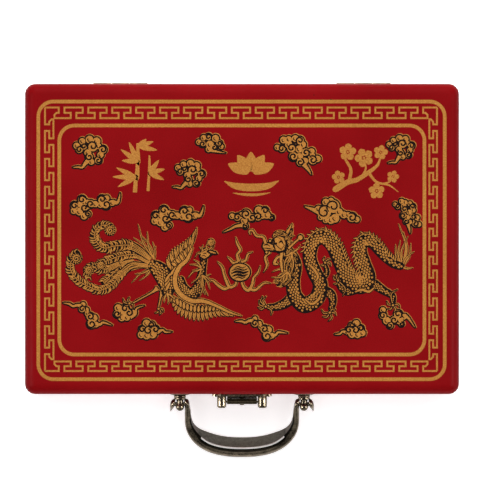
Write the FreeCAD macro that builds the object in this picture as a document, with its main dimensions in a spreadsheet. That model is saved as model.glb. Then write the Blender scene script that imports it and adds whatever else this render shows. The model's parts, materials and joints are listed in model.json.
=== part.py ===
import FreeCAD, Part
import math
import os
import re
import Sketcher

# Mahjong case: a low wooden box wrapped in leatherette, with a rolled-edge lid, butt hinges,
# a swing handle on two turned posts, a hasp with a turn knob, and four lift-out tile trays.
# Millimetres.  X runs to the right, Y from the front (handle) to the back (hinges), Z up.
# The origin is the middle of the underside.

os.makedirs("parts", exist_ok=True)
doc = FreeCAD.newDocument("MahjongCase")

# ---------------------------------------------------------------- driving sizes

SIZES = {
    # the closed case, over its leatherette
    "case_wide": 320,
    "case_deep": 229,
    "base_high": 48,
    "lid_high": 27,
    "seam_gap": 0.4,
    "corner_round": 8.4,
    "lid_roll": 8.4,
    # boards, coverings and linings
    "board_thick": 8,
    "top_board_thick": 8,
    "floor_thick": 5.5,
    "wrap_thick": 0.8,
    "underside_thick": 0.5,
    "underside_margin": 4,
    "lining_thick": 1,
    "lining_rim_margin": 1.5,
    "lid_pad_thick": 3,
    # tile trays, each for four columns of nine tiles laid flat
    "tray_gap": 0.5,
    "tray_end_gap": 1,
    "tray_head": 2.2,
    "tray_wall": 2,
    "tray_floor": 1.6,
    "tray_corner": 2.5,
    "finger_notch": 11,
    "side_bay_wide": 46,
    "partition_thick": 3,
    "partition_notch": 14,
    # butt hinges
    "hinge_pair_wide": 180,
    "hinge_long": 40,
    "hinge_leaf_wide": 8,
    "hinge_leaf_thick": 0.8,
    "hinge_barrel": 2.4,
    "hinge_pin": 1.1,
    "knuckle_gap": 0.3,
    "hinge_screw": 1.8,
    "hinge_screw_head": 3.4,
    "hinge_screw_long": 6,
    "screw_pair_wide": 26,
    # clearances
    "moving_gap": 0.3,
    "running_fit": 0.05,
    # turned handle posts
    "handle_pair_wide": 92.5,
    "handle_pivot_high": 27.4,
    "handle_reach": 8,
    "rosette_wide": 17,
    "rosette_thick": 1.8,
    "collar_wide": 8.7,
    "collar_end": 4.2,
    "neck_wide": 5.1,
    "acorn_wide": 6.2,
    "acorn_long": 3.8,
    "post_reach": 13.8,
    "shank_wide": 4,
    "washer_wide": 9,
    "washer_thick": 0.8,
    "nut_flats": 7,
    "nut_thick": 3.2,
    "nut_sink": 0.5,
    "counterbore": 10.4,
    # handle
    "handle_droop": 29,
    "handle_pin": 1.9,
    "fork_gap": 7,
    "ear_thick": 3.4,
    "ear_wide": 6.8,
    "web_low": 6.5,
    "web_thick": 1.2,
    "leg_thick": 4.6,
    "grip_crown": 45.7,
    "grip_rim": 34.2,
    "grip_wide": 16,
    "grip_wall": 1.3,
    # latch on the lid
    "latch_high": 9.6,
    "latch_plate_wide": 44,
    "latch_plate_high": 14,
    "latch_plate_thick": 1.5,
    "latch_pair_wide": 30,
    "latch_post_wide": 6.9,
    "latch_post_reach": 10.3,
    "latch_post_tail": 3,
    "latch_tail_long": 6,
    "plate_lobe": 2.6,
    "nail_wide": 1.4,
    "nail_head": 2.4,
    "nail_long": 5,
    # hasp
    "hasp_axis_reach": 5.6,
    "hasp_wide": 22.4,
    "hasp_thick": 0.9,
    "hasp_long": 27,
    "hasp_lip": 2.2,
    "hasp_barrel": 3.8,
    "hasp_top": 2.3,
    "hasp_barrel_long": 22,
    "hasp_pin": 1.8,
    "hasp_slot_gap": 0.5,
    # catch on the base
    "knob_drop": 18,
    "catch_plate_wide": 34,
    "catch_plate_high": 15,
    "catch_plate_thick": 1.5,
    "knob_wide": 4.8,
    "knob_long": 10.4,
    "knob_reach": 8.8,
    "knob_thick": 4.3,
    "knob_stem": 3.4,
    "knob_flange": 5.2,
    "knob_flange_thick": 0.9,
}

# places and sizes worked out from the driving ones
PLACES = {
    "half_wide": "case_wide / 2",
    "half_deep": "case_deep / 2",
    "board_out_x": "case_wide / 2 - wrap_thick",
    "board_out_y": "case_deep / 2 - wrap_thick",
    "board_in_x": "case_wide / 2 - wrap_thick - board_thick",
    "board_in_y": "case_deep / 2 - wrap_thick - board_thick",
    "lined_x": "case_wide / 2 - wrap_thick - board_thick - lining_thick",
    "lined_y": "case_deep / 2 - wrap_thick - board_thick - lining_thick",
    "wall_bottom": "underside_thick + wrap_thick",
    "wall_top": "base_high - wrap_thick",
    "floor_top": "underside_thick + floor_thick",
    "floor_lining_top": "underside_thick + floor_thick + lining_thick",
    "lid_rim": "base_high + seam_gap",
    "lid_wall_bottom": "base_high + seam_gap + wrap_thick",
    "lid_top": "base_high + seam_gap + lid_high",
    "lid_board_top": "base_high + seam_gap + lid_high - wrap_thick",
    "lid_board_bottom": "base_high + seam_gap + lid_high - wrap_thick - top_board_thick",
    "board_corner": "min(corner_round - wrap_thick; board_thick * 0.97)",
    "tray_wide": "lined_x - (side_bay_wide + partition_thick + 3 * tray_gap) / 2",
    "tray_long": "2 * (lined_y - tray_end_gap)",
    "tray_high": "(base_high - floor_lining_top - tray_head) / 2",
    "partition_left": "lined_x - side_bay_wide - partition_thick",
    "hinge_axis_z": "base_high + seam_gap / 2",
    "barrel_reach": "hinge_barrel / 2 + moving_gap",
    "knuckle_pitch": "hinge_long / 3",
    "latch_z": "base_high + seam_gap + latch_high",
    "knob_z": "base_high + seam_gap + latch_high - knob_drop",
    "wall_stack": "wrap_thick + board_thick",
    "counterbore_deep": "washer_thick + nut_thick + nut_sink",
    "hasp_back": "(hasp_barrel + hasp_thick) / 2",
    "hasp_face": "(hasp_barrel - hasp_thick) / 2",
}


def expression(text):
    """Put the sheet's name in front of every size or place named in an expression."""
    def with_sheet(match):
        word = match.group(0)
        if word in SIZES:
            return "Sizes." + word
        if word in PLACES:
            return "Places." + word
        return word
    return re.sub(r"[a-z_]+", with_sheet, text)


def fill_sheet(name, rows):
    """Write one named value to a row: its name in column A, the value in column B."""
    sheet = doc.addObject("Spreadsheet::Sheet", name)
    for row, (alias, content) in enumerate(rows.items(), start=1):
        sheet.set(f"A{row}", alias)
        sheet.set(f"B{row}", content)
        sheet.setAlias(f"B{row}", alias)
    doc.recompute()
    return sheet


sizes = fill_sheet("Sizes", {alias: str(size) for alias, size in SIZES.items()})
places = fill_sheet("Places", {})
for place_row, (place_alias, place_text) in enumerate(PLACES.items(), start=1):
    places.set(f"A{place_row}", place_alias)
    places.setAlias(f"B{place_row}", place_alias)
for place_row, place_text in enumerate(PLACES.values(), start=1):
    places.set(f"B{place_row}", "=" + expression(place_text).replace("Places.", ""))
doc.recompute()


def value(text):
    """The number that an expression of sizes and places comes to now."""
    return float(sizes.evalExpression(expression(text)))


# ---------------------------------------------------------------- modelling helpers

NODES = []
TURN_TO = {
    "x": FreeCAD.Rotation(FreeCAD.Vector(0, 1, 0), 90),
    "y": FreeCAD.Rotation(FreeCAD.Vector(1, 0, 0), -90),
    "z": FreeCAD.Rotation(),
}
SIDES = (("left", "-1"), ("right", "1"))
TOUCHING = 1e-4


def node(piece, label):
    """Name a finished sub-part and put it on the list to be written."""
    piece.Label = label
    NODES.append(piece)
    return piece


def seat(piece, x, y, z):
    """Bind where a piece stands to three expressions."""
    for axis, text in zip("xyz", (x, y, z)):
        piece.setExpression(f"Placement.Base.{axis}", expression(text))


def box(name, low, high):
    """A block between two corners, each given as three expressions."""
    block = doc.addObject("Part::Box", name)
    for side, start, end in zip(("Length", "Width", "Height"), low, high):
        block.setExpression(side, expression(f"({end}) - ({start})"))
    seat(block, *low)
    return block


def rod(name, start, along, radius, length):
    """A round bar from a start point along +X, +Y or +Z."""
    bar = doc.addObject("Part::Cylinder", name)
    bar.Placement = FreeCAD.Placement(FreeCAD.Vector(), TURN_TO[along])
    bar.setExpression("Radius", expression(radius))
    bar.setExpression("Height", expression(length))
    seat(bar, *start)
    return bar


def join(name, pieces):
    """One solid, or one group of solids, from several pieces."""
    union = doc.addObject("Part::MultiFuse", name)
    union.Shapes = pieces
    return union


def group(name, pieces):
    """Separate identical solids kept together."""
    together = doc.addObject("Part::Compound", name)
    together.Links = pieces
    return together


def cut(name, stock, tools):
    """The stock less every tool."""
    result = doc.addObject("Part::Cut", name)
    result.Base = stock
    result.Tool = tools[0] if len(tools) == 1 else join(name + "_tools", tools)
    return result


def new_body(name):
    return doc.addObject("PartDesign::Body", name)


def new_sketch(body, name, role, shift="0"):
    """A sketch on one of the body's own origin planes, moved along the plane's normal."""
    drawing = body.newObject("Sketcher::SketchObject", name)
    plane = next(item for item in body.Origin.OriginFeatures if item.Role == role)
    drawing.AttachmentSupport = [(plane, "")]
    drawing.MapMode = "FlatFace"
    drawing.setExpression("AttachmentOffset.Base.z", expression(shift))
    return drawing


def pin_point(drawing, shape_id, end, x, y):
    """Bind one point of a sketch to two expressions."""
    for kind, text in (("DistanceX", x), ("DistanceY", y)):
        rule = Sketcher.Constraint(kind, -1, 1, shape_id, end, value(text))
        row = drawing.addConstraint(rule)
        drawing.setExpression(f"Constraints[{row}]", expression(text))


def spot(x, y):
    return FreeCAD.Vector(value(x), value(y), 0)


def draw_outline(drawing, corners):
    """A closed outline.  A corner of four expressions starts an arc through its last two."""
    ids = []
    for corner, following in zip(corners, corners[1:] + corners[:1]):
        start = spot(*corner[:2])
        end = spot(*following[:2])
        if len(corner) == 2:
            edge = Part.LineSegment(start, end)
        else:
            edge = Part.Arc(start, spot(*corner[2:]), end)
        ids.append(drawing.addGeometry(edge, False))
    ends = []
    for corner, edge_id in zip(corners, ids):
        start_is_first = True
        if len(corner) == 4:
            first = drawing.getPoint(edge_id, 1)
            start_is_first = first.distanceToPoint(spot(*corner[:2])) < 1e-6
        ends.append((1, 2) if start_is_first else (2, 1))
    count = len(ids)
    for index in range(count):
        after = (index + 1) % count
        rule = Sketcher.Constraint("Coincident", ids[index], ends[index][1], ids[after], ends[after][0])
        drawing.addConstraint(rule)
    for index, corner in enumerate(corners):
        pin_point(drawing, ids[index], ends[index][0], *corner[:2])
        if len(corner) == 4:
            middle = drawing.addGeometry(Part.Point(spot(*corner[2:])), True)
            pin_point(drawing, middle, 1, *corner[2:])
            drawing.addConstraint(Sketcher.Constraint("PointOnObject", middle, 1, ids[index]))


def draw_rectangle(drawing, low, high):
    draw_outline(drawing, [low, (high[0], low[1]), high, (low[0], high[1])])


def draw_circle(drawing, x, y, radius):
    circle = Part.Circle(spot(x, y), FreeCAD.Vector(0, 0, 1), value(radius))
    ring = drawing.addGeometry(circle, False)
    pin_point(drawing, ring, 3, x, y)
    row = drawing.addConstraint(Sketcher.Constraint("Radius", ring, value(radius)))
    drawing.setExpression(f"Constraints[{row}]", expression(radius))


def pad(body, name, drawing, length, midplane=False, backwards=False):
    feature = body.newObject("PartDesign::Pad", name)
    feature.Profile = drawing
    feature.setExpression("Length", expression(length))
    if midplane:
        feature.SideType = "Symmetric"
    feature.Reversed = backwards
    return feature


def pocket(body, name, drawing, length, midplane=False, backwards=False):
    feature = body.newObject("PartDesign::Pocket", name)
    feature.Profile = drawing
    feature.setExpression("Length", expression(length))
    if midplane:
        feature.SideType = "Symmetric"
    feature.Reversed = backwards
    return feature


def turn(body, name, drawing):
    """Revolve a half outline all the way round the sketch's upright axis."""
    feature = body.newObject("PartDesign::Revolution", name)
    feature.Profile = drawing
    feature.ReferenceAxis = (drawing, ["V_Axis"])
    feature.Angle = 360
    return feature


def ease_edges(body, name, kind, amount, chosen):
    """Fillet or chamfer the edges of the body's last feature that a test picks."""
    doc.recompute()
    tip = body.Tip
    names = [f"Edge{index}" for index, edge in enumerate(tip.Shape.Edges, start=1) if chosen(edge)]
    easing = body.newObject(f"PartDesign::{kind}", name)
    easing.Base = (tip, names)
    easing.setExpression("Radius" if kind == "Fillet" else "Size", expression(amount))


def round_edges(body, name, radius, chosen):
    ease_edges(body, name, "Fillet", radius, chosen)


def is_upright(edge):
    box_of_edge = edge.BoundBox
    return box_of_edge.ZLength > max(box_of_edge.XLength, box_of_edge.YLength) * 10


# ---------------------------------------------------------------- carcass and coverings

def rounded_slab(name, inset, bottom, top, corner, roll=None):
    """A block of the case's plan, drawn in by inset, with round corners and a rolled top edge."""
    body = new_body(name)
    plan = new_sketch(body, name + "_plan", "XY_Plane")
    draw_rectangle(plan, (f"{inset} - half_wide", f"{inset} - half_deep"),
                   (f"half_wide - ({inset})", f"half_deep - ({inset})"))
    pad(body, name + "_pad", plan, f"{top} - ({bottom})")
    round_edges(body, name + "_corners", corner, is_upright)
    if roll:
        height = value(f"{top} - ({bottom})")
        round_edges(body, name + "_roll", roll, lambda edge: edge.BoundBox.ZMin > height - TOUCHING)
    seat(body, "0", "0", bottom)
    return body


def long_board(name, side, bottom, top):
    """A front or back board, full width, its outer corners rounded.  side is -1 or 1."""
    body = new_body(name)
    plan = new_sketch(body, name + "_plan", "XY_Plane")
    rows = sorted([f"{side} * board_in_y", f"{side} * board_out_y"], key=value)
    draw_rectangle(plan, ("-board_out_x", rows[0]), ("board_out_x", rows[1]))
    pad(body, name + "_pad", plan, f"{top} - ({bottom})")
    outer = value(f"{side} * board_out_y")
    round_edges(body, name + "_corners", "board_corner",
                lambda edge: is_upright(edge) and abs(edge.CenterOfMass.y - outer) < TOUCHING)
    seat(body, "0", "0", bottom)
    return body


def side_board(name, side, bottom, top):
    """A left or right board, fitted between the front and back boards."""
    near, far = sorted([f"{side} * board_in_x", f"{side} * board_out_x"], key=value)
    return box(name, (near, "-board_in_y", bottom), (far, "board_in_y", top))


def hinge_pockets(name):
    """What the two hinges take out of a rim: a bed for each leaf and a trough for its barrel."""
    tools = []
    for side_name, side in SIDES:
        start = f"{side} * hinge_pair_wide / 2 - hinge_long / 2 - moving_gap"
        end = f"{side} * hinge_pair_wide / 2 + hinge_long / 2 + moving_gap"
        tools.append(box(f"{name}_{side_name}_bed",
                         (start, "half_deep - hinge_leaf_wide", "base_high - hinge_leaf_thick"),
                         (end, "half_deep + 1", "lid_rim + hinge_leaf_thick")))
        tools.append(box(f"{name}_{side_name}_trough",
                         (start, "half_deep - barrel_reach", "hinge_axis_z - barrel_reach"),
                         (end, "half_deep + 1", "hinge_axis_z + barrel_reach")))
    return join(name, tools)


def inner_well(name, bottom, top):
    return box(name, ("-board_in_x", "-board_in_y", bottom), ("board_in_x", "board_in_y", top))


hinge_beds = hinge_pockets("hinge_beds")

SCREW_SPOTS = [(side, row) for side in ("-1", "1") for row in ("-1", "1")]


def hinge_screws(name, head_face, point):
    """Countersunk screws of both hinges.  point is -1 for screws driven down, 1 for up."""
    screws = []
    for index, (side, row) in enumerate(SCREW_SPOTS, start=1):
        x = f"{side} * hinge_pair_wide / 2 + {row} * screw_pair_wide / 2"
        y = "half_deep - (hinge_leaf_wide + barrel_reach) / 2"
        head = doc.addObject("Part::Cone", f"{name}_head_{index}")
        head.setExpression("Radius1", expression("hinge_screw_head / 2"))
        head.setExpression("Radius2", expression("hinge_screw / 2"))
        head.setExpression("Height", expression("hinge_leaf_thick"))
        head.Placement.Rotation = FreeCAD.Rotation(FreeCAD.Vector(1, 0, 0), 180 if point == "-1" else 0)
        seat(head, x, y, head_face)
        shank_low = f"{head_face} - hinge_screw_long" if point == "-1" else head_face
        shank = rod(f"{name}_shank_{index}", (x, y, shank_low), "z", "hinge_screw / 2", "hinge_screw_long")
        screws.append(join(f"{name}_{index}", [head, shank]))
    return group(name, screws)


base_screws = node(hinge_screws("base_screws", "base_high", "-1"), "hinge_base_screws")
lid_screws = node(hinge_screws("lid_screws", "lid_rim", "1"), "hinge_lid_screws")

# holes through the front of the base for the handle posts, and the nuts' counterbores behind
post_holes = []
for side_name, side in SIDES:
    post_x = f"{side} * handle_pair_wide / 2"
    post_holes.append(rod(f"{side_name}_shank_hole", (post_x, "-half_deep", "handle_pivot_high"), "y",
                          "shank_wide / 2 + running_fit", "wall_stack"))
    post_holes.append(rod(f"{side_name}_nut_hole",
                          (post_x, "counterbore_deep * -1 - board_in_y", "handle_pivot_high"), "y",
                          "counterbore / 2", "counterbore_deep"))

# the latch posts' tails in the lid, the knob's stem and its riveted end in the base
latch_tail_holes = []
for side_name, side in SIDES:
    tail_start = (f"{side} * latch_pair_wide / 2", "-half_deep", "latch_z")
    latch_tail_holes.append(rod(f"{side_name}_latch_tail_hole", tail_start, "y",
                                "latch_post_tail / 2", "latch_tail_long"))
knob_hole = rod("knob_hole", ("0", "-half_deep", "knob_z"), "y",
                "knob_flange / 2 + moving_gap", "knob_flange_thick + 2 * moving_gap")


def nails(name, spacing, plate_thick, height):
    """Round-headed nails that hold a latch plate to its wall."""
    body_list = []
    for side_name, side in SIDES:
        body = new_body(f"{name}_{side_name}")
        half = new_sketch(body, f"{name}_{side_name}_half", "XY_Plane")
        draw_outline(half, [
            ("0", "nail_long"),
            ("0", f"-{plate_thick} - nail_head / 4"),
            ("nail_head * 0.3", f"-{plate_thick} - nail_head * 0.2"),
            ("nail_head / 2", f"-{plate_thick}"),
            ("nail_wide / 2", f"-{plate_thick}"),
            ("nail_wide / 2", "nail_long"),
        ])
        turn(body, f"{name}_{side_name}_turned", half)
        seat(body, f"{side} * {spacing} / 2", "-half_deep", height)
        body_list.append(body)
    return group(name, body_list)


latch_nails = node(nails("latch_nails", "(latch_plate_wide - 2 * plate_lobe)", "latch_plate_thick", "latch_z"),
                   "latch_plate_nails")
catch_nails = node(nails("catch_nails", "(catch_plate_wide - 2 * plate_lobe)", "catch_plate_thick", "knob_z"),
                   "catch_plate_nails")

# base boards
base_front = long_board("base_front_blank", "-1", "wall_bottom", "wall_top")
node(cut("base_front_cut", base_front, post_holes + [knob_hole, catch_nails]), "base_front_board")
base_back = long_board("base_back_blank", "1", "wall_bottom", "wall_top")
node(cut("base_back_cut", base_back, [hinge_beds, base_screws]), "base_back_board")
for side_name, side in SIDES:
    node(side_board(f"base_{side_name}", side, "wall_bottom", "wall_top"), f"base_{side_name}_board")
node(box("base_floor", ("-board_in_x", "-board_in_y", "underside_thick"),
         ("board_in_x", "board_in_y", "floor_top")), "base_floor_board")

# base covering: a skin round the walls, turned over the rim and under the walls
base_skin_tools = [
    rounded_slab("base_skin_inside", "wrap_thick", "wall_bottom", "wall_top", "board_corner"),
    inner_well("base_skin_well", "underside_thick - 1", "base_high + 1"),
    hinge_beds, knob_hole, catch_nails] + post_holes
node(cut("base_skin", rounded_slab("base_skin_outside", "0", "underside_thick", "base_high", "corner_round"),
         base_skin_tools), "base_wrap")
node(rounded_slab("underside", "underside_margin", "0", "underside_thick",
                  "corner_round - underside_margin"), "base_underside_sheet")

# lid boards
lid_front = long_board("lid_front_blank", "-1", "lid_wall_bottom", "lid_board_bottom")
node(cut("lid_front_cut", lid_front, latch_tail_holes + [latch_nails]), "lid_front_board")
lid_back = long_board("lid_back_blank", "1", "lid_wall_bottom", "lid_board_bottom")
node(cut("lid_back_cut", lid_back, [hinge_beds, lid_screws]), "lid_back_board")
for side_name, side in SIDES:
    node(side_board(f"lid_{side_name}", side, "lid_wall_bottom", "lid_board_bottom"),
         f"lid_{side_name}_board")
node(rounded_slab("lid_top_blank", "wrap_thick", "lid_board_bottom", "lid_board_top", "board_corner",
                  "lid_roll - wrap_thick"), "lid_top_board")

# lid covering: over the top, down the walls and turned in under the rim
lid_skin_tools = [
    rounded_slab("lid_skin_inside", "wrap_thick", "lid_wall_bottom", "lid_board_top", "board_corner",
                 "lid_roll - wrap_thick"),
    inner_well("lid_skin_well", "lid_rim - 1", "lid_wall_bottom + 1"),
    hinge_beds, latch_nails] + latch_tail_holes
node(cut("lid_skin", rounded_slab("lid_skin_outside", "0", "lid_rim", "lid_top", "corner_round", "lid_roll"),
         lid_skin_tools), "lid_wrap")


# ---------------------------------------------------------------- linings, partition and trays

def wall_lining(name, bottom, top):
    """A thin band of cloth glued round the inside of the walls."""
    return cut(name, inner_well(name + "_outside", bottom, top),
               [box(name + "_inside", ("-lined_x", "-lined_y", f"{bottom} - 1"),
                    ("lined_x", "lined_y", f"{top} + 1"))])


node(box("floor_lining", ("-board_in_x", "-board_in_y", "floor_top"),
         ("board_in_x", "board_in_y", "floor_lining_top")), "base_floor_lining")
node(wall_lining("base_lining", "floor_lining_top", "base_high - lining_rim_margin"), "base_wall_lining")
node(wall_lining("lid_lining", "lid_rim + lining_rim_margin", "lid_board_bottom"), "lid_wall_lining")
node(box("lid_pad", ("-lined_x", "-lined_y", "lid_board_bottom - lid_pad_thick"),
         ("lined_x", "lined_y", "lid_board_bottom")), "lid_top_lining")


def notched_partition(name):
    """The upright board beside the side bay, with a hand notch in its top edge."""
    body = new_body(name)
    face = new_sketch(body, name + "_face", "YZ_Plane")
    draw_outline(face, [
        ("-lined_y", "0"),
        ("lined_y", "0"),
        ("lined_y", "2 * tray_high"),
        ("partition_notch", "2 * tray_high", "0", "2 * tray_high - partition_notch"),
        ("-partition_notch", "2 * tray_high"),
        ("-lined_y", "2 * tray_high"),
    ])
    pad(body, name + "_pad", face, "partition_thick")
    seat(body, "partition_left", "0", "floor_lining_top")
    return body


def tile_tray(name):
    """An open tray of thin card and cloth with a finger notch in each end wall."""
    body = new_body(name)
    plan = new_sketch(body, name + "_plan", "XY_Plane")
    draw_rectangle(plan, ("-tray_wide / 2", "-tray_long / 2"), ("tray_wide / 2", "tray_long / 2"))
    pad(body, name + "_block", plan, "tray_high")
    round_edges(body, name + "_corners", "tray_corner", is_upright)
    well = new_sketch(body, name + "_well", "XY_Plane", "tray_floor")
    draw_rectangle(well, ("tray_wall - tray_wide / 2", "tray_wall - tray_long / 2"),
                   ("tray_wide / 2 - tray_wall", "tray_long / 2 - tray_wall"))
    pocket(body, name + "_hollow", well, "tray_high", backwards=True)
    notch = new_sketch(body, name + "_notch", "XZ_Plane")
    draw_circle(notch, "0", "tray_high", "finger_notch")
    pocket(body, name + "_notches", notch, "tray_long + 2", midplane=True)
    return body


node(notched_partition("partition"), "compartment_partition")
TRAY_COLUMNS = (("left", "tray_gap - lined_x + tray_wide / 2"),
                ("right", "2 * tray_gap - lined_x + tray_wide * 1.5"))
TRAY_LAYERS = (("lower", "floor_lining_top"), ("upper", "floor_lining_top + tray_high"))
for layer_name, tray_z in TRAY_LAYERS:
    for column_name, tray_x in TRAY_COLUMNS:
        tray = tile_tray(f"tray_{layer_name}_{column_name}")
        seat(tray, tray_x, "0", tray_z)
        node(tray, f"{layer_name}_{column_name}_tray")


# ---------------------------------------------------------------- hinges

KNUCKLES = 3


def hinge_leaf(name, own_knuckles, face):
    """A leaf with its rolled knuckles.  face is -1 on the base and 1 on the lid."""
    body = new_body(name)
    flat = new_sketch(body, name + "_flat", "YZ_Plane")
    near, far = sorted([f"{face} * seam_gap / 2", f"{face} * (seam_gap / 2 + hinge_leaf_thick)"], key=value)
    draw_rectangle(flat, ("-hinge_leaf_wide", near), ("0", far))
    pad(body, name + "_plate", flat, "hinge_long", midplane=True)
    barrel = new_sketch(body, name + "_barrel", "YZ_Plane")
    draw_circle(barrel, "0", "0", "hinge_barrel / 2")
    pad(body, name + "_roll", barrel, "hinge_long", midplane=True)
    bore = new_sketch(body, name + "_bore", "YZ_Plane")
    draw_circle(bore, "0", "0", "hinge_pin / 2 + running_fit")
    pocket(body, name + "_pin_hole", bore, "hinge_long + 2", midplane=True)
    gaps = new_sketch(body, name + "_gaps", "XY_Plane")
    for index in range(KNUCKLES):
        if index not in own_knuckles:
            start = f"(-0.5 * hinge_long + {index} * knuckle_pitch - knuckle_gap / 2)"
            end = f"(-0.5 * hinge_long + {index + 1} * knuckle_pitch + knuckle_gap / 2)"
            draw_rectangle(gaps, (start, "-barrel_reach"), (end, "hinge_barrel"))
    pocket(body, name + "_knuckles", gaps, "4 * hinge_barrel", midplane=True)
    return body


for side_name, side in SIDES:
    hinge_place = (f"{side} * hinge_pair_wide / 2", "half_deep", "hinge_axis_z")
    base_leaf = hinge_leaf(f"{side_name}_base_leaf", (0, 2), "-1")
    seat(base_leaf, *hinge_place)
    node(cut(f"{side_name}_base_leaf_sunk", base_leaf, [base_screws]), f"{side_name}_hinge_base_leaf")
    lid_leaf = hinge_leaf(f"{side_name}_lid_leaf", (1,), "1")
    seat(lid_leaf, *hinge_place)
    node(cut(f"{side_name}_lid_leaf_sunk", lid_leaf, [lid_screws]), f"{side_name}_hinge_lid_leaf")
    node(rod(f"{side_name}_hinge_rod", (f"{side} * hinge_pair_wide / 2 - hinge_long / 2", "half_deep",
                                        "hinge_axis_z"), "x", "hinge_pin / 2", "hinge_long"),
         f"{side_name}_hinge_pin")


# ---------------------------------------------------------------- handle posts

def turned_post(name):
    """A post turned from bar: collar, neck, bead and acorn tip, with a shank for the nut."""
    body = new_body(name)
    half = new_sketch(body, name + "_half", "XY_Plane")
    draw_outline(half, [
        ("0", "wall_stack - nut_sink / 2"),
        ("0", "-post_reach"),
        ("acorn_wide * 0.3", "acorn_long * 0.1 - post_reach"),
        ("acorn_wide / 2", "acorn_long * 0.65 - post_reach"),
        ("neck_wide / 2", "acorn_long - post_reach"),
        ("neck_wide / 2", "-collar_end"),
        ("collar_wide / 2", "collar_wide * 0.1 - collar_end"),
        ("collar_wide / 2", "-rosette_thick"),
        ("shank_wide / 2", "-rosette_thick"),
        ("shank_wide / 2", "wall_stack - nut_sink / 2"),
    ])
    turn(body, name + "_turned", half)
    return body


def domed_rosette(name):
    """A dished plate between the wall and the post's collar."""
    body = new_body(name)
    half = new_sketch(body, name + "_half", "XY_Plane")
    draw_outline(half, [
        ("shank_wide / 2 + running_fit", "0"),
        ("shank_wide / 2 + running_fit", "-rosette_thick"),
        ("collar_wide / 2", "-rosette_thick"),
        ("rosette_wide / 2", "-rosette_thick * 0.35"),
        ("rosette_wide / 2", "0"),
    ])
    turn(body, name + "_turned", half)
    return body


nut_list = []
washer_list = []
for side_name, side in SIDES:
    post_x = f"{side} * handle_pair_wide / 2"
    pivot_pin = node(rod(f"{side_name}_pivot_rod",
                         (f"{post_x} - fork_gap / 2 - ear_thick - running_fit",
                          "-half_deep - handle_reach", "handle_pivot_high"),
                         "x", "handle_pin / 2", "fork_gap + 2 * (ear_thick + running_fit)"),
                     f"{side_name}_handle_pin")
    post = turned_post(f"{side_name}_post_turning")
    seat(post, post_x, "-half_deep", "handle_pivot_high")
    node(cut(f"{side_name}_post_drilled", post, [pivot_pin]), f"{side_name}_handle_post")
    rosette = domed_rosette(f"{side_name}_rosette_turning")
    seat(rosette, post_x, "-half_deep", "handle_pivot_high")
    node(rosette, f"{side_name}_handle_rosette")
    washer_place = (post_x, "-board_in_y - counterbore_deep", "handle_pivot_high")
    washer = rod(f"{side_name}_washer_disc", washer_place, "y", "washer_wide / 2", "washer_thick")
    nut_place = (post_x, "-board_in_y - counterbore_deep + washer_thick", "handle_pivot_high")
    nut = doc.addObject("Part::Prism", f"{side_name}_nut_bar")
    nut.Polygon = 6
    nut.Placement = FreeCAD.Placement(FreeCAD.Vector(), TURN_TO["y"])
    nut.setExpression("Circumradius", expression("nut_flats / 2 / cos(30)"))
    nut.setExpression("Height", expression("nut_thick"))
    seat(nut, *nut_place)
    thread = rod(f"{side_name}_nut_thread", washer_place, "y", "shank_wide / 2", "counterbore_deep")
    nut_list.append(cut(f"{side_name}_nut", nut, [thread]))
    washer_list.append(cut(f"{side_name}_washer", washer, [thread]))
node(group("nuts", nut_list), "handle_nuts")
node(group("washers", washer_list), "handle_washers")


# ---------------------------------------------------------------- handle

LEG_STATIONS = 3
BOW_STATIONS = 8
HOLLOW_FIRST = 2
CROWN_SIDES = 4
ROUNDNESS = 0.8
HOLLOW_CURVE = 0.12


def bail_stations():
    """Half of the handle, from the fork to the middle of the grip.

    Each station is the inner point, the outer point and the half width there.  The inner and
    outer lines are straight legs that run into half ellipses.
    """
    outer_leg = value("(handle_pair_wide - fork_gap) / 2")
    inner_leg = outer_leg - value("leg_thick")
    ear = value("ear_wide / 2")
    crown, rim, wide = value("grip_crown"), value("grip_rim"), value("grip_wide / 2")
    inner_turn = rim - (inner_leg * 0.38)
    outer_turn = crown - (outer_leg * 0.57)
    stations = []
    for step in range(LEG_STATIONS):
        share = step / LEG_STATIONS
        inner_out = inner_turn * share + ear * 0.2 * (1 - share)
        outer_out = outer_turn * share + ear * 0.2 * (1 - share)
        thin = value("ear_thick") + (value("leg_thick") - value("ear_thick")) * share
        stations.append(((outer_leg - thin, inner_out), (outer_leg, outer_out), ear * 0.92))
    for step in range(BOW_STATIONS + 1):
        angle = math.radians(90 * step / BOW_STATIONS)
        swell = min(1.0, step / (0.62 * BOW_STATIONS))
        half = ear * 0.92 + (wide - ear * 0.92) * math.sin(swell * math.pi / 2) ** 2
        inner = (inner_leg * math.cos(angle), inner_turn + (rim - inner_turn) * math.sin(angle))
        outer = (outer_leg * math.cos(angle), outer_turn + (crown - outer_turn) * math.sin(angle))
        stations.append((inner, outer, half))
    return stations


def bail_section(station, side, skin):
    """The D-shaped section at a station: flat to the fingers, round outside.

    skin is how far the section is drawn in on its round side, and it then sticks out past
    the flat side, as the tool that hollows the grip.
    """
    (inner_x, inner_out), (outer_x, outer_out), half = station
    across = FreeCAD.Vector(side * (outer_x - inner_x), inner_out - outer_out, 0)
    depth = across.Length - skin
    across.normalize()
    root = FreeCAD.Vector(side * inner_x, -inner_out, 0) - across * skin
    depth += skin
    half -= skin
    shoulder = max(skin + 0.1 * half, depth - ROUNDNESS * half)
    corners = [(0.0, -half), (0.0, half)]
    for step in range(CROWN_SIDES + 1):
        angle = math.pi * (0.5 - step / CROWN_SIDES)
        corners.append((shoulder + (depth - shoulder) * math.cos(angle), half * math.sin(angle)))
    points = [root + across * distance + FreeCAD.Vector(0, 0, height) for distance, height in corners]
    return Part.makePolygon(points + points[:1])


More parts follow.
